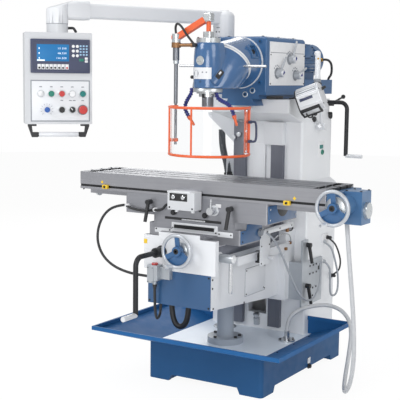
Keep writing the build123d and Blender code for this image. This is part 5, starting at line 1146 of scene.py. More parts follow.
def addLampParts(s):
    ribs = lampStands(s, s["ribAngles"])
    ribs += [along((s["half"][0], down, 0), toRight) for down in s["frontRibs"]]
    settle(repeat(slab((-3, -s["ribHalf"], -3), (3, s["ribHalf"], 5.5), 1.4), ribs), "lamp_ribs", lampAlloy,
           "lamp_head", lampPlace)
    # Grey strips between the ribs: painted shade in the grooves
    grooveShades = lampStands(s, s["grooveShadeAngles"])
    settle(repeat(slab((-4.2, -s["ribHalf"], -3), (4.2, s["ribHalf"], 0.6), 0.4), grooveShades), "lamp_groove_shade",
           greyPlastic, "lamp_head", lampPlace)
    low, high = s["seal"]
    settle(plate(lampOutline(s, 2.5), high - low, 1.5), "lamp_seal", blackPlastic, "lamp_head",
           lampPlace @ shift(0, 0, low))
    low, high = s["cap"]
    settle(plate(lampOutline(s, 1.5), high - low, 4, 3), "lamp_end_cap", lampAlloy, "lamp_head",
           lampPlace @ shift(0, 0, low))
    addScrews("lamp_cap_screws", [(x, y, high) for x, y in ((38, -40), (38, 42), (-38, -40), (-38, 42))],
              upward, 4, 2, "lamp_head", matrix=lampPlace)
    (top, left), (bottom, right) = s["namePlate"]
    addSlab("lamp_plate", (s["half"][0] - 1, top, left), (s["half"][0] + 1.6, bottom, right), slatePlastic,
            "lamp_head", "grey_plate", 0.8, lampPlace)
    deep, tall = (half - s["corner"] for half in s["half"])
    turn, reach = math.radians(s["windowAngle"]), s["corner"] - 6
    out = (math.cos(turn), math.sin(turn), 0)
    stand = lampPlace @ along((deep + reach * out[0], tall + reach * out[1], -8), out)
    settle(pocket(slab((-27, -56, -6), (27, 56, 13), 3), 7, 5), "lamp_window_frame", blackPlastic, "lamp_head",
           stand)
    addSlab("lamp_window", (-21, -50, 4), (21, 50, 9.5), lampAlloy, "lamp_head", "clear_window", 1, stand)
    stub = [(6, -4), (6, 10), (5, 12), (5, 40), (3.5, 42)]
    addTurned("lamp_switch", [(20, -36, s["seal"][0])], (0, -0.2, -1), stub, blackPlastic, "lamp_head",
              20, lampPlace)
    knob = [(9, -3), (9, 8), (7, 13), (7, 20), (4, 22)]
    addTurned("lamp_knob", [(-30, -38, s["cap"][1])], (-0.3, -0.2, 1), knob, blackPlastic, "lamp_head",
              20, lampPlace)
    addTurned("lamp_neck_ring", [(358, 60, 1622)], upward, [(15.4, -10), (20, -8), (20, 4), (17, 8), (15.4, 9)],
              greyPlastic, "lamp_head", 28)
    addTurned("lamp_neck_seal", [(358, 60, 1606)], upward, [(15, -6), (24, -5), (24, 4), (15, 6)], blackPlastic,
              "lamp_head", 28)
    addScrews("lamp_neck_screw", [(366, 45, 1738)], (0.52, -0.85, 0), 5, 5, "lamp_head", yellowBrass)
    hook = [(38, 62, -38), (48, 84, -36), (44, 94, -18), (26, 78, -8), (30, 92, 8), (20, 74, 14)]
    settle(tube(hook, 4, 8), "lamp_tilt_handle", blackPlastic, "lamp_head", lampPlace)
    foot = [(20.6, -2), (24, -1), (24, 12), (21, 16), (20.6, 18)]
    addTurned("lamp_bracket_foot", [(262.8, 285, 1366)], toRight, foot, lampAlloy, "lamp_arm")
    addTurned("lamp_bracket_knob", [(288, 262, 1368)], (0.3, -1, 0),
              [(10, -6), (10, 8), (13, 12), (13, 24), (9, 28)], lampAlloy, "lamp_arm", 24)


addLampParts(lampParts)
print("lamp done")

# Table and carriage

tableParts = {
    "front": -612, "dogs": [(-554, 1042), (530, 1038)], "tags": [(-580, 1066), (567, 1063)],
    "pins": [(-700, y, 1115) for y in (-548, -458, -370)],
}


def addTableParts(s):
    front = s["front"]
    blocks = [slab((x - 17, front - 15, z - 10), (x + 17, front + 2, z + 12), 2.5, 3) for x, z in s["dogs"]]
    settle(together(blocks), "trip_dogs", yellowPlastic, "table")
    addScrews("trip_dog_screws", [(x, front - 15, z + 1) for x, z in s["dogs"]], toFront, 6.5, 4, "table")
    tags = [along((x, front, z), toFront, 45) for x, z in s["tags"]]
    settle(repeat(slab((-6.5, -6.5, -1), (6.5, 6.5, 1.2), 0.6), tags), "trip_tags", yellowPlastic, "table")
    addTurned("tray_pins", s["pins"], upward, [(3.5, -16), (3.5, 4), (5, 5), (5, 8), (3, 9.5)], brightSteel,
              "table", 16)
    ring = [(34, -2), (34, 8), (31, 10.6), (18, 10.8), (18, 9)]
    addTurned("screw_end_ring", [(-720, -448, 1003)], toLeft, ring, castAlloy, "table", 40)
    addScrews("table_end_screws", [(-730.4, y, 1020) for y in (-580, -520, -376, -316)], toLeft, 7, 0.3,
              "table")
    addScrews("drive_cap_screws",
              [(882, y, z) for y, z in ((-474, 1012), (-422, 1012), (-448, 986), (-448, 1038))], toRight, 4,
              0.9, "table")
    addScrews("drive_plate_screws", [(x, -598, z) for x, z in ((743, 1090), (743, 960))], toFront, 6, 4,
              "table")
    addScrews("drive_top_screws", [(x, y, 1104) for x in (784, 858) for y in (-495, -400)], upward, 6, 4,
              "table")
    dial = [(46.6, 0), (49, 1.5), (49, 20), (46.6, 21.5)]
    addTurned("table_dial", [(792, -627, 1039)], toFront, dial, castAlloy, "table", 64)
    ticks = [along((792, -637, 1039), toFront, 9 * i) for i in range(40)]
    settle(repeat(slab((-0.7, 48, 0), (0.7, 49.5, 9), 0.2, 1), ticks), "table_dial_ticks", blackOxide, "table")


addTableParts(tableParts)

wheelParts = {
    "sector": (202, 338), "inner": 20, "outer": 74, "gripAngle": 250, "gripReach": 79,
    "dialRadius": 37, "dialTicks": 40,
}


def addWheelParts(s, wheels):
    for name, (x, y, z) in wheels.items():
        stand = along((x, y, z), toFront)
        low, high = s["sector"]
        turns = [math.radians(low + (high - low) * i / 20) for i in range(21)]
        outline = [(s["outer"] * math.cos(t), s["outer"] * math.sin(t)) for t in turns]
        outline += [(s["inner"] * math.cos(t), s["inner"] * math.sin(t)) for t in reversed(turns)]
        settle(plate(outline, 6, 1.2), f"{name}_web", blueEnamel, name, stand @ shift(0, 0, -12))
        addTurned(f"{name}_boss", [(x, y - 5, z)], toFront, [(24.6, -14), (24.6, -2), (22.5, 1.5), (15, 2)],
                  blueEnamel, name, 40)
        addTurned(f"{name}_nut", [(x, y - 5.5, z)], toFront, [(14.5, 0), (14.5, 2.2), (12.5, 3.4), (6, 3.6),
                                                              (6, 1.5)], blackOxide, name, 28)
        turn = math.radians(s["gripAngle"])
        root = (x + s["gripReach"] * math.cos(turn), y - 8, z + s["gripReach"] * math.sin(turn))
        grip = [(9.6, 0), (9.6, 3), (8.6, 5), (9.4, 22), (10.4, 44), (9.8, 56), (7.5, 61.5), (3, 63)]
        addTurned(f"{name}_grip", [root], toFront, grip, lampAlloy, name, 24)
    x, y, z = wheels["cross_handwheel"]
    ring = [(s["dialRadius"] - 3, 0), (s["dialRadius"], 2), (s["dialRadius"], 22), (s["dialRadius"] - 3, 24),
            (20, 25)]
    addTurned("cross_dial", [(x, y + 58, z)], toFront, ring, castAlloy, "cross_handwheel", 64)
    ticks = [along((x, y + 45, z), toFront, 360 / s["dialTicks"] * i) for i in range(s["dialTicks"])]
    settle(repeat(slab((-0.7, s["dialRadius"] - 1, 0), (0.7, s["dialRadius"] + 0.5, 9), 0.2, 1), ticks),
           "cross_dial_ticks", blackOxide, "cross_handwheel")


addWheelParts(wheelParts, wheelCentres)

carriageParts = {
    "front": -613, "glands": [(-407, 953), (-228, 946)], "plugs": [(-116, 941), (73, 940)], "cup": (39, 961),
    "endCover": ((422, -606, 924), (426.5, -296, 1012)), "tripBox": ((-110, -687, 965), (50, -613, 1060)),
}


def addCarriageParts(s):
    front = s["front"]
    gland = [(12, -2), (12, 6), (10.5, 8), (10.5, 19), (8, 22)]
    addTurned("cable_glands", [(x, front, z) for x, z in s["glands"]], toFront, gland, lightPlastic, "carriage",
              20)
    knob = [(12, -2), (12, 4), (14, 6), (14, 15), (11, 19), (5, 20)]
    addTurned("carriage_plugs", [(x, front, z) for x, z in s["plugs"]], toFront, knob, blackPlastic, "carriage",
              24)
    addTurned("oil_cup", [(s["cup"][0], front, s["cup"][1])], toFront,
              [(7, -2), (7, 2), (5, 3), (5, 7), (3, 8)], blackOxide, "carriage", 20)
    low, high = s["endCover"]
    addSlab("carriage_end_cover", low, high, blueEnamel, "carriage", "blue_paint", 1.5)
    # Black half-ellipse sheet on the end cover: painted shade of its hole
    half = [(66 * math.cos(math.radians(180 + 10 * i)), 62 * math.sin(math.radians(180 + 10 * i)))
            for i in range(19)]
    stand = Matrix(((0, 0, 1, 0.4258), (1, 0, 0, -0.452), (0, 1, 0, 1.0098), (0, 0, 0, 1)))
    settle(plate(half, 1.4, 0.3), "end_cover_hole_shade", blackPlastic, "carriage", stand)
    addScrews("end_cover_screws", [(high[0], y, z) for y in (-588, -312) for z in (942, 994)], toRight, 5, 1.6,
              "carriage", brightSteel)
    (x0, y0, z0), (x1, y1, z1) = s["tripBox"]
    # Black slab behind the rollers: painted shade in the box's opening
    addSlab("trip_opening_shade", (x0 + 12, y0 - 1.2, z0 + 46), (x1 - 42, y0 + 2, z1 - 10), blackPlastic, "carriage",
            "black_handle", 1.5)
    rollers = [(x0 + 36, y0 - 1, z0 + 66), (x1 - 66, y0 - 1, z0 + 66)]
    addTurned("trip_rollers", rollers, toFront, [(11, -2), (11, 5), (8, 7), (4, 7)], brightSteel, "carriage",
              24)
    addSlab("trip_lid", (x0 - 2, y0 - 3, z1 - 7), (x1 - 26, y1 - 1, z1 + 1.5), lampAlloy, "carriage",
            "grey_plate", 2)
    addTurned("trip_pads", [(x0 - 1, -660, z0 + 34)], toLeft, [(15, -12), (15, 4), (12, 8), (6, 9)], lampAlloy,
              "carriage", 28)
    addTurned("trip_feet", [(x, y0 + 26, z0 - 1) for x in (x0 + 40, x1 - 24)], downward,
              [(10, -2), (10, 10), (7, 13)], lampAlloy, "carriage", 24)
    addScrews("trip_screws", [(x, y0, z0 + 12) for x in (x0 + 12, x1 - 12)], toFront, 4.5, 2.5, "carriage")
    addTurned("feed_dial", [(122, front + 0.5, 968)], toFront, [(27, -1), (27, 4), (25, 6), (20, 6), (20, 4.4)],
              lampAlloy, "carriage", 40)
    addSlab("feed_tag", (132, front - 4, 985), (163, front + 1, 1003), lightPlastic, "carriage", "white_cap",
            1.5)
    link = [(-407, -630, 953), (-380, -632, 944), (-318, -628, 934), (-256, -626, 938), (-228, -629, 946)]
    addCord("gland_cable", link, 6.5, blackSheath, body="carriage")
    link = [(-228, -629, 946), (-200, -638, 944), (-160, -650, 958), (-142, -655, 984), (-112, -655, 990)]
    addCord("trip_cable", link, 6.5, blackSheath, body="carriage")


addCarriageParts(carriageParts)
print("table and carriage done")

# Saddle, knee and apron

saddleParts = {
    "crown": ((-128, -614.2, 842), (146, -611, 862)), "crownTop": ((-128, -620, 859), (146, -611, 890)),
    "crownLeft": ((-236, -614.2, 829), (-126, -611, 853)),
    "crownRight": ((144, -614.2, 838), (232, -611, 864)), "bellows": ((-112, -623, 860), (128, -618, 881)),
    "scale": ((-174, -613.6, 903), (164, -611, 916)), "scaleBright": ((-70, -614.2, 904), (70, -611, 911)),
    "sideCover": [(-606, 808), (-388, 808), (-388, 902), (-542, 902), (-548, 875), (-606, 875)],
    "rail": ((273, -384, 830), (286, -42, 858)), "bracket": ((272, -402, 668), (277, -292, 834)),
}


def addSaddleParts(s):
    plates = [slab(*s[key], 1.5) for key in ("crown", "crownTop", "crownLeft", "crownRight")]
    settle(together(plates), "apron_crown", whiteEnamel, "saddle")
    (x0, y0, z0), (x1, y1, z1) = s["bellows"]
    folds = [slab((x0, y0 + 1.4 * (i % 2), z0 + 3.5 * i), (x1, y1, z0 + 3.5 * (i + 1)), 0.5, 1)
             for i in range(6)]
    settle(together(folds), "way_bellows", blackPlastic, "saddle")
    lips = [slab((x0 - 8, y0 - 2, z1 - 1), (x1 + 8, y1, z1 + 6), 1),
            slab((x0 - 8, y0 - 2, z0 - 1.4), (x1 + 8, y1, z0 + 1), 0.6)]
    settle(together(lips), "bellows_lips", lampAlloy, "saddle")
    addScrews("crown_screws", [(x, -620, z) for x, z in ((-120, 862), (138, 856))], toFront, 4, 2.5, "saddle")
    addScrews("crown_wing_screws",
              [(x, -614.2, z) for x, z in ((-226, 847), (-142, 847), (222, 852), (154, 852))], toFront, 4, 2.5,
              "saddle")
    addSlab("swivel_scale", *s["scale"], blackPlastic, "saddle", "black_handle", 0.8)
    addSlab("swivel_scale_face", *s["scaleBright"], lampAlloy, "saddle", "bright_steel", 0.8)
    ticks = [slab((x, -614.8, 906), (x + 1.4, -613, 910 if i % 5 else 912.4), 0.2, 1)
             for i, x in enumerate(range(-66, 68, 8))]
    settle(together(ticks), "swivel_scale_ticks", blackOxide, "saddle")
    stand = Matrix(((0, 0, 1, 0.2715), (1, 0, 0, 0), (0, 1, 0, 0), (0, 0, 0, 1)))
    settle(plate(s["sideCover"], 5, 1.2), "saddle_side_cover", blueEnamel, "saddle", stand)
    addScrews("side_cover_screws",
              [(276.5, y, z) for y, z in ((-592, 820), (-404, 820), (-592, 864), (-404, 890))], toRight, 4.5, 2,
              "saddle")
    (x0, y0, z0), (x1, y1, z1) = s["rail"]
    settle(together([slab((x0, y0, z0), (x1, y1, z1), 1.5),
                     slab((x1 - 2, y0 + 8, z0 + 6), (x1 + 3, y1 - 8, z1 - 6), 1)]), "scale_rail", lampAlloy,
                     "saddle")
    addScrews("rail_screws", [(x1 + 3, y, (z0 + z1) / 2) for y in (-350, -210, -70)], toRight, 4, 2, "saddle")
    addSlab("cable_bracket", *s["bracket"], whiteEnamel, "saddle", "white_paint", 1.5)
    addTurned("bracket_knob", [(277, -306, 702)], (1, -0.2, 0),
              [(10, -2), (10, 16), (12, 18), (12, 28), (8, 31)], lampAlloy, "saddle", 24)
    addScrews("bracket_screws", [(277, y, z) for y, z in ((-390, 680), (-390, 770), (-304, 770))], toRight, 4,
              2, "saddle")
    addSlab("pipe_union", (274, -114, 810), (287, -94, 832), dullBrass, "saddle", "bright_steel", 2)
    arc = [(282, -64, 848), (282, -46, 847), (282, -39, 830), (282, -48, 815), (282, -70, 812), (282, -96, 816)]
    settle(tube(arc, 3.2, 8), "lube_pipe", blackSheath, "saddle")
    addTurned("conduit_socket", [(273, -384, 850)], (1, 0.1, 0),
              [(17, -2), (17, 8), (13, 10), (13, 20), (9, 22)], lampAlloy, "saddle", 24)
    addTurned("saddle_fitting", [(273, -414, 846)], toRight, [(20, -1), (20, 10), (16, 12), (16, 18), (10, 19)],
              greyPlastic, "saddle", 28)


addSaddleParts(saddleParts)

kneeParts = {
    "side": 186, "hatch": ((-393, 497), (-173, 640)), "hatchScrews": [(-384, 506), (-182, 506), (-384, 631),
                                                                      (-182, 631)],
    "sideScrews": [(-727, 596), (-718, 493), (-402, 466), (-192, 512), (-727, 640)],
    "coverScrews": [(-176, 498), (176, 498), (-176, 650), (176, 650)],
    "rail": ((230, -565, 690), (240, 24, 738)),
    "clampScrews": [(y, z) for y in (130, 172, 214) for z in (590, 545, 460, 415)],
}


def addKneeParts(s):
    side = s["side"]
    (rear, low), (front, high) = s["hatch"]
    addSlab("hatch_gap", (side - 1, rear - 3, low - 3), (side + 0.6, front + 3, high + 3), greyPlastic, "knee",
            "grey_plate", 0.3)
    addSlab("hatch_plate", (side - 1, rear, low), (side + 2.4, front, high), whiteEnamel, "knee",
            "white_paint", 1)
    addScrews("hatch_screws", [(side + 2.4, y, z) for y, z in s["hatchScrews"]], toRight, 4, 2, "knee")
    addScrews("knee_side_screws", [(side, y, z) for y, z in s["sideScrews"]], toRight, 5, 2.5, "knee")
    addScrews("front_cover_screws", [(x, -745, z) for x, z in s["coverScrews"]], toFront, 5, 2.5, "knee")
    addScrews("knee_left_screws", [(-side, y, z) for y, z in s["sideScrews"]], toLeft, 5, 2.5, "knee")
    addSlab("left_hatch_plate", (-side - 2.4, rear, low), (-side + 1, front, high), whiteEnamel, "knee",
            "white_paint", 1)
    addScrews("left_hatch_screws", [(-side - 2.4, y, z) for y, z in s["hatchScrews"]], toLeft, 4, 2, "knee")
    (x0, y0, z0), (x1, y1, z1) = s["rail"]
    rail = together([slab((x0, y0, z0), (x1, y1, z1), 1.5),
                     slab((side - 2, y0 + 20, z0 + 8), (x0 + 2, y0 + 60, z1 - 8), 1.5),
                     slab((side - 2, y1 - 70, z0 + 8), (x0 + 2, y1 - 30, z1 - 8), 1.5),
                     slab((x1 - 2, y0, z1 - 8), (x1 + 8, y1, z1), 1)])
    settle(rail, "cable_rail", whiteEnamel, "knee")
    # Black block across the rail: painted shade in its slot
    addSlab("rail_slot_shade", (x0 - 2, -366, z0 - 14), (x1 + 9, -350, z1 + 2), blackPlastic, "knee", "black_rubber",
            1.5)
    # Dark way-iron strip on the knee's side under the saddle: its slideway, and painted shade of the recess
    # there
    addSlab("knee_way_and_shade", (side - 1, -706, 744), (side + 2, 30, 798), wayIron, "knee", "bright_steel", 0.8)
    addTurned("lock_rod_sleeve", [(254, -667, 574)], upward, [(8, -4), (10, -1), (10.5, 60), (9.5, 150)],
              brightSteel, "saddle_lock_lever", 24)
    addTurned("lock_hub_cap", [(268.5, -667, 743)], toRight, [(20, -2), (20, 2), (18, 4), (9, 4), (8, 2.5)],
              lampAlloy, "saddle_lock_lever", 32)
    # Black sheet in the hub cap's end: painted shade of its slot
    addSlab("lock_hub_slot_shade", (270, -669, 735), (271.6, -665, 751), blackPlastic, "saddle_lock_lever",
            "black_handle", 0.3)
    blocks = [slab((x1 - 1, y, z - 8), (x1 + 13, y + 16, z + 8), 2) for y, z in ((-4, 734), (-54, 706))]
    settle(together(blocks), "pipe_blocks", dullBrass, "knee")
    pipe = [(250, 4, 734), (266, -30, 790), (262, -130, 800), (256, -210, 790), (250, -240, 752)]
    settle(tube(pipe, 3, 8), "oil_pipe", brightSteel, "knee")
    addScrews("clamp_plate_screws", [(310.5, y, z) for y, z in s["clampScrews"]], toRight, 6, 2, "knee")
    addSlab("clamp_slot", (309.8, 236, 552), (311.6, 262, 574), blackPlastic, "knee", "black_handle", 0.6)
    addSlab("knee_tag", (-213, -746.6, 789), (-193, -744, 812), yellowPlastic, "knee", "grey_plate", 0.6)
    ring = [(30, -2), (30, 6), (27, 9), (26, 9)]
    addTurned("crank_flange", [(-104, -745, 757)], toFront, ring, blackOxide, "knee", 36)
    ring = [(52, -2), (52, 3), (49, 6), (38, 6)]
    addTurned("cross_flange", [(24, -745, 778)], toFront, ring, lampAlloy, "knee", 44)
    addTurned("lock_flange", [(186.4, -667, 743)], toRight, [(30, -2), (30, 5), (27, 8), (22, 8)], lampAlloy,
              "knee", 36)
    cap = [(19, -1), (21, 1), (21, 5), (18, 7), (8, 7.4)]
    addTurned("lock_cap", [(268, -667, 743)], toRight, cap, lampAlloy, "saddle_lock_lever", 32)
    addSlab("switch_lid", (-157, -799, 600), (-118, -796, 684), zincPlate, "knee", "grey_plate", 1.2)
    addScrews("switch_lid_screws", [(x, -799, z) for x in (-151, -124) for z in (606, 678)], toFront, 2.6, 1.4,
              "knee")
    addTurned("switch_gland", [(-128, -771, 586)], downward, [(11, -4), (11, 8), (8.5, 10), (8.5, 20), (6, 24)],
              blackPlastic, "knee", 20)
    addTurned("hose_collars", [(-168, -550, 470), (-62, -550, 470)], downward, [(17, -4), (17, 14), (15, 17)],
              blackPlastic, "knee", 24)


addKneeParts(kneeParts)
print("saddle and knee done")

# Base, tray and column

baseParts = {
    "floor": 200, "disc": (-170, 20), "pedestal": (0, -269), "pedestalBolts": 78, "port": (350, 60),
    "trayScrews": [(359, 36, 212), (364, -355, 214), (364, -160, 214)],
}


def addBaseParts(s):
    x, y = s["disc"]
    addTurned("floor_ring", [(x, y, s["floor"])], upward, [(66, -1), (66, 3), (63, 5), (47, 5), (46, 2)],
              zincPlate, "machine_frame", 48)
    addTurned("floor_lid", [(x, y, s["floor"])], upward, [(45, -1), (45, 2), (43, 3.4), (12, 3.6)], paleGreyLitEnamel,
              "machine_frame", 40)
    addScrews("floor_lid_screws",
              [(x + 54 * math.cos(a), y + 54 * math.sin(a), 204.5) for a in (0.6, 2.2, 3.7, 5.3)], upward, 4, 2,
              "machine_frame")
    (x, y), radius = s["pedestal"], s["pedestalBolts"]
    turns = [math.radians(angle) for angle in (25, 115, 165, 255, 345)]
    ring = [(x + radius * math.cos(turn), y + radius * math.sin(turn), 234) for turn in turns]
    addScrews("pedestal_bolts", ring, upward, 9, 9, "machine_frame")
    addTurned("pedestal_collar", [(x, y, 519)], upward, [(58, -14), (60, -12), (60, 0), (57, 2), (24, 2)],
              castAlloy, "machine_frame", 48)
    addTurned("window_fitting", [(0, 90, 262)], (0, -0.2, 1), [(20, -40), (20, 0), (15, 2), (15, 14), (19, 15),
                                                               (19, 24), (14, 27)], brightSteel,
                                                               "machine_frame", 28)
    addScrews("tray_screws", s["trayScrews"], (-0.32, 0, 0.95), 5, 3, "machine_frame")
    addScrews("flange_bolts",
              [(274 + 36 * math.cos(a), -67 + 36 * math.sin(a), 211) for a in (0.8, 2.4, 3.9, 5.5)], upward, 5,
              4, "machine_frame")
    addTurned("hose_clip", [(274, -67, 246)], upward, [(12.4, 0), (14, 1.5), (14, 9), (12.4, 10.5)],
              brightSteel, "machine_frame", 28)
    x, y = s["port"]
    addTurned("drain_plug", [(x, y, 38)], toRight, [(15, -2), (15, 4), (11, 6), (11, 14), (8, 16)], blackOxide,
              "machine_frame", 24)
    addSlab("sight_frame", (x - 1, y - 17, 54), (x + 4, y + 17, 88), brightSteel, "machine_frame",
            "bright_steel", 2)
    addTurned("sight_glass", [(x + 3, y, 71)], toRight, [(11, -1), (11, 2.4), (9, 3.6), (3, 4)], lightPlastic,
              "machine_frame", 28)
    feet = [(sx * 322, sy * 470, 22) for sx in (-1, 1) for sy in (-1, 1)]
    addTurned("levelling_bolts", feet, upward, [(12, -20), (12, 6), (10, 8), (10, 10)], blackOxide,
              "machine_frame", 18)


addBaseParts(baseParts)

columnParts = {
    "upperSide": 262, "rear": 485, "lockPlate": ((301, 1184), (380, 1276)),
    "wayCover": ((40, 63, 1262), (158, 95, 1388)), "door": ((-232, 360), (232, 1130)),
}


def addColumnParts(s):
    upper = s["upperSide"]
    (y0, z0), (y1, z1) = s["lockPlate"]
    addSlab("lock_plate", (upper - 1, y0, z0), (upper + 2.4, y1, z1), lightPlastic, "machine_frame",
            "white_cap", 1.2)
    addSlab("lock_mark", (upper + 1.8, y0 + 16, z0 + 50), (upper + 3.2, y1 - 16, z0 + 72), tealPlastic,
            "machine_frame", "teal_cap", 0.6)
    addTurned("door_lock", [(upper + 2, 350, 1214)], toRight, [(15, -1), (15, 5), (12, 8), (6, 8.4), (6, 5)],
              greenPlastic, "machine_frame", 28)
    addTurned("hose_saddle", [(upper, 236, 1405)], toRight, [(16, -4), (16, 6), (12, 10), (5, 11)],
              blackPlastic, "machine_frame", 24)
    sockets = together([slab((299, 295, 688), (309, 374, 746), 2.5),
                        slab((299, 295, 574), (309, 332, 606), 2.5),
                        slab((299, 404, 470), (309, 444, 506), 2.5)])
    settle(sockets, "cable_sockets", lightPlastic, "machine_frame")
    gland = [(11, -2), (11, 4), (9, 6), (9, 12), (7, 14)]
    addTurned("conduit_glands", [(308, 312, 704), (308, 312, 590)], toRight, gland, zincPlate, "machine_frame",
              20)
    addTurned("cable_plugs", [(308, 352, 724), (308, 424, 488)], toRight,
              [(12, -2), (12, 8), (9, 10), (9, 26), (6, 30)], blackPlastic, "machine_frame", 20)
    addTurned("cable_elbow", [(256, 462, 1421)], (1, 0.5, 0), [(20, -8), (20, 10), (16, 15), (6, 16)],
              blackPlastic, "machine_frame", 28)
    addSlab("post_clamp", (-442, 190, 1483), (-366, 238, 1507), zincPlate, "machine_frame", "grey_plate", 3)
    low, high = s["wayCover"]
    addSlab("way_cover", (low[0], low[1] - 2, low[2]), high, whiteEnamel, "machine_frame", "white_paint", 1.5)
    addSlab("way_plate", (-38, 84, 970), (38, 97, 1262), whiteEnamel, "machine_frame", "white_paint", 1.5)
    addTurned("way_valves", [(-150, 64, 1295), (-115, 64, 1313)], toFront,
              [(9, -2), (9, 6), (13, 8), (13, 16), (8, 19)], lampAlloy, "machine_frame", 24)
    (x0, z0), (x1, z1) = s["door"]
    rear = s["rear"]
    addSlab("cabinet_gap", (x0 - 4, rear - 1, z0 - 4), (x1 + 4, rear + 0.8, z1 + 4), greyPlastic,
            "machine_frame", "grey_plate", 0.4)
    addSlab("cabinet_door", (x0, rear - 1, z0), (x1, rear + 12, z1), whiteEnamel, "machine_frame",
            "white_paint", 3)
    vents = [slab((-110, rear + 11, z), (110, rear + 13.4, z + 7), 1) for z in list(range(1000, 1096, 16))
             + list(range(390, 486, 16))]
    settle(together(vents), "cabinet_vents", blackPlastic, "machine_frame")
    hinge = [(9, 0), (9, 70), (7, 72)]
    addTurned("cabinet_hinges", [(x0 - 4, rear + 7, z) for z in (430, 980)], upward, hinge, zincPlate,
              "machine_frame", 20)
    addTurned("cabinet_locks", [(x1 - 24, rear + 12, z) for z in (460, 1000)], toBack,
              [(16, -1), (16, 4), (13, 7), (6, 7), (6, 5)], blackPlastic, "machine_frame", 28)
    addSlab("mains_switch_plate", (-60, rear + 11, 700), (60, rear + 14, 820), lightPlastic, "machine_frame",
            "white_cap", 1.5)
    addTurned("mains_switch", [(0, rear + 13, 760)], toBack, [(40, -1), (40, 6), (34, 10), (20, 12), (20, 24),
                                                              (17, 27)], redPlastic, "machine_frame",
                                                              36)
    addSlab("mains_handle", (-9, rear + 30, 726), (9, rear + 50, 794), blackPlastic, "machine_frame",
            "black_handle", 3)
    addSlab("left_cover", (-upper - 2.4, 170, 760), (-upper + 1, 400, 1160), whiteEnamel, "machine_frame",
            "white_paint")
    addScrews("left_cover_screws", [(-upper - 2.4, y, z) for y in (184, 386) for z in (774, 960, 1146)], toLeft,
              5, 2.5, "machine_frame")
    addTurned("conduit_gland", [(-262, 196, 1050)], (-0.2, 0.05, 1),
              [(29, -8), (29, 12), (25, 16), (25, 26), (22, 30)], blackPlastic, "machine_frame",
              28)


addColumnParts(columnParts)
print("base and column done")

# Guard and its arm

guardParts = {
    "centre": (9, -482), "endAngle": 31, "radii": (178, 205), "heights": (1240, 1480),
    "handle": [(197, -398, 1408), (216, -388, 1411), (228, -381, 1404), (229, -380, 1314), (216, -388, 1306),
               (197, -398, 1309)],
}


def addGuardParts(s):
    turn = math.radians(s["endAngle"])
    stand = shift(*s["centre"]) @ Matrix.Rotation(turn, 4, "Z")
    (inner, outer), (low, high) = s["radii"], s["heights"]
    addSlab("guard_end_flange", (inner, -6, low), (outer, -1, high), orangeCoat, "guard", "orange_paint", 1.2,
            stand)
    addScrews("guard_end_screws", [(inner + 12, -6, z) for z in (low + 16, low + 120, high - 16)], toFront, 4.5,
              2.5, "guard", brightSteel, stand)
    corners = [slab((inner + 4, -34, z), (outer - 2, -5, z + 12), 1.5) for z in (low - 3, high - 9)]
    settle(together(corners), "guard_corners", brightSteel, "guard", stand)
    settle(tube(s["handle"], 6, 10), "guard_handle", slatePlastic, "guard")
    feet = [slab((196, -412, z - 8), (208, -386, z + 8), 2) for z in (1309, 1408)]
    settle(together(feet), "guard_handle_feet", slatePlastic, "guard")


addGuardParts(guardParts)

armParts = {
    "rod": (-150, -557), "elbow": (-322, 216), "elbowRadius": 62.6, "elbowHeights": (1868, 1974),
    "elbowCurve": 45,
    "slopeTop": (-735, -716, 2012), "slopeAway": (-0.405, -0.914, 0), "slope": 17, "slopeEdge": 7,
}


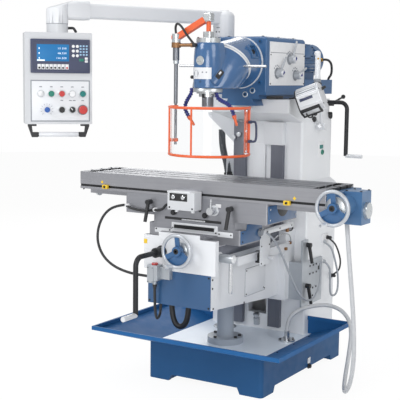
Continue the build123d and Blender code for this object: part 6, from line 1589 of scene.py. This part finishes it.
def addSwingArm(s):  # the arm is its CAD shape with the front elbow cut to a slope
    arm = bpy.data.objects.new("swing_arm", nodes["panel_arm"].data.copy())
    bpy.context.collection.objects.link(arm)
    takeUp(arm)
    away, rise = Vector(s["slopeAway"]), math.radians(s["slope"])
    bpy.ops.object.mode_set(mode="EDIT")
    bpy.ops.mesh.select_all(action="SELECT")
    bpy.ops.mesh.remove_doubles(threshold=0.00001)
    upright = away * math.sin(rise) + Vector((0, 0, math.cos(rise)))
    bpy.ops.mesh.bisect(plane_co=Vector(s["slopeTop"]) / 1000, plane_no=upright, use_fill=True,
                        clear_outer=True)
    bpy.ops.mesh.bevel(offset=s["slopeEdge"] / 1000, segments=3, affect="EDGES")
    bpy.ops.object.mode_set(mode="OBJECT")
    settle(arm, "swing_arm", whiteEnamel, "panel_arm")
    # Flat sides shade flat beside their rounded edges
    finishMesh(arm, ("WEIGHTED_NORMAL", {"keep_sharp": True}))
    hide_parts("panel_arm")


def addArmParts(s):
    addSwingArm(s)
    x, y = s["rod"]
    addTurned("clamp_bar", [(x + 22, y, 1793)], toRight, [(9, -10), (9, 66), (12, 68), (12, 80), (9, 82)],
              dullBrass, "guard_arm", 24)
    addTurned("clamp_knob", [(x + 104, y, 1793)], toRight, [(8, -4), (11, 0), (11, 12), (8, 16), (4, 17)],
              blackPlastic, "guard_arm", 24)
    addTurned("knuckle_cap", [(x - 21, y - 3, 1832)], (-1, -0.3, 0), [(15, -3), (15, 1), (12, 2.6), (4, 3)],
              orangeCoat, "guard_arm", 28)
    addTurned("rod_sleeve", [(x, y, 1700)], upward, [(13, -2), (14.5, 0), (14.5, 70), (13, 72)], castAlloy,
              "guard_arm", 28)
    addScrews("sleeve_screw", [(x + 10, y - 10, 1716)], (0.7, -0.7, 0), 5, 7, "guard_arm", brightSteel)
    addTurned("knuckle_pin", [(0, -487, 1956)], upward, [(13, -8), (13, 1), (10, 4), (4, 5)], castAlloy,
              "guard_arm", 28)
    cable = [(-148, -560, 1846), (-152, -566, 1876), (-136, -575, 1904), (-108, -578, 1890), (-80, -577, 1850),
             (-48, -572, 1812), (-38, -562, 1795)]
    addCord("guard_cable", cable, 6, blackSheath, body="guard_arm")
    radius, curve, (foot, shoulder) = s["elbowRadius"], s["elbowCurve"], s["elbowHeights"]
    turns = [math.radians(10 * i) for i in range(10)]
    bend = [(radius - curve * (1 - math.cos(turn)), shoulder + curve * math.sin(turn)) for turn in turns]
    cap = turned([(radius, foot)] + bend, 48)
    cap.data.transform(shift(*s["elbow"]))
    settle(cap, "elbow_cap", whiteEnamel, "panel_arm", smooth=50)
    addTurned("elbow_dots", [(x, 155.5, 1893) for x in (-335, -316)], toFront, [(4, -3), (4, 2), (3, 3)],
              blackPlastic, "panel_arm", 16)
    addSlab("elbow_tag", (-334, 152, 1914), (-312, 156, 1920), greyPlastic, "panel_arm", "grey_plate", 1)


addArmParts(armParts)
print("guard and arm done")
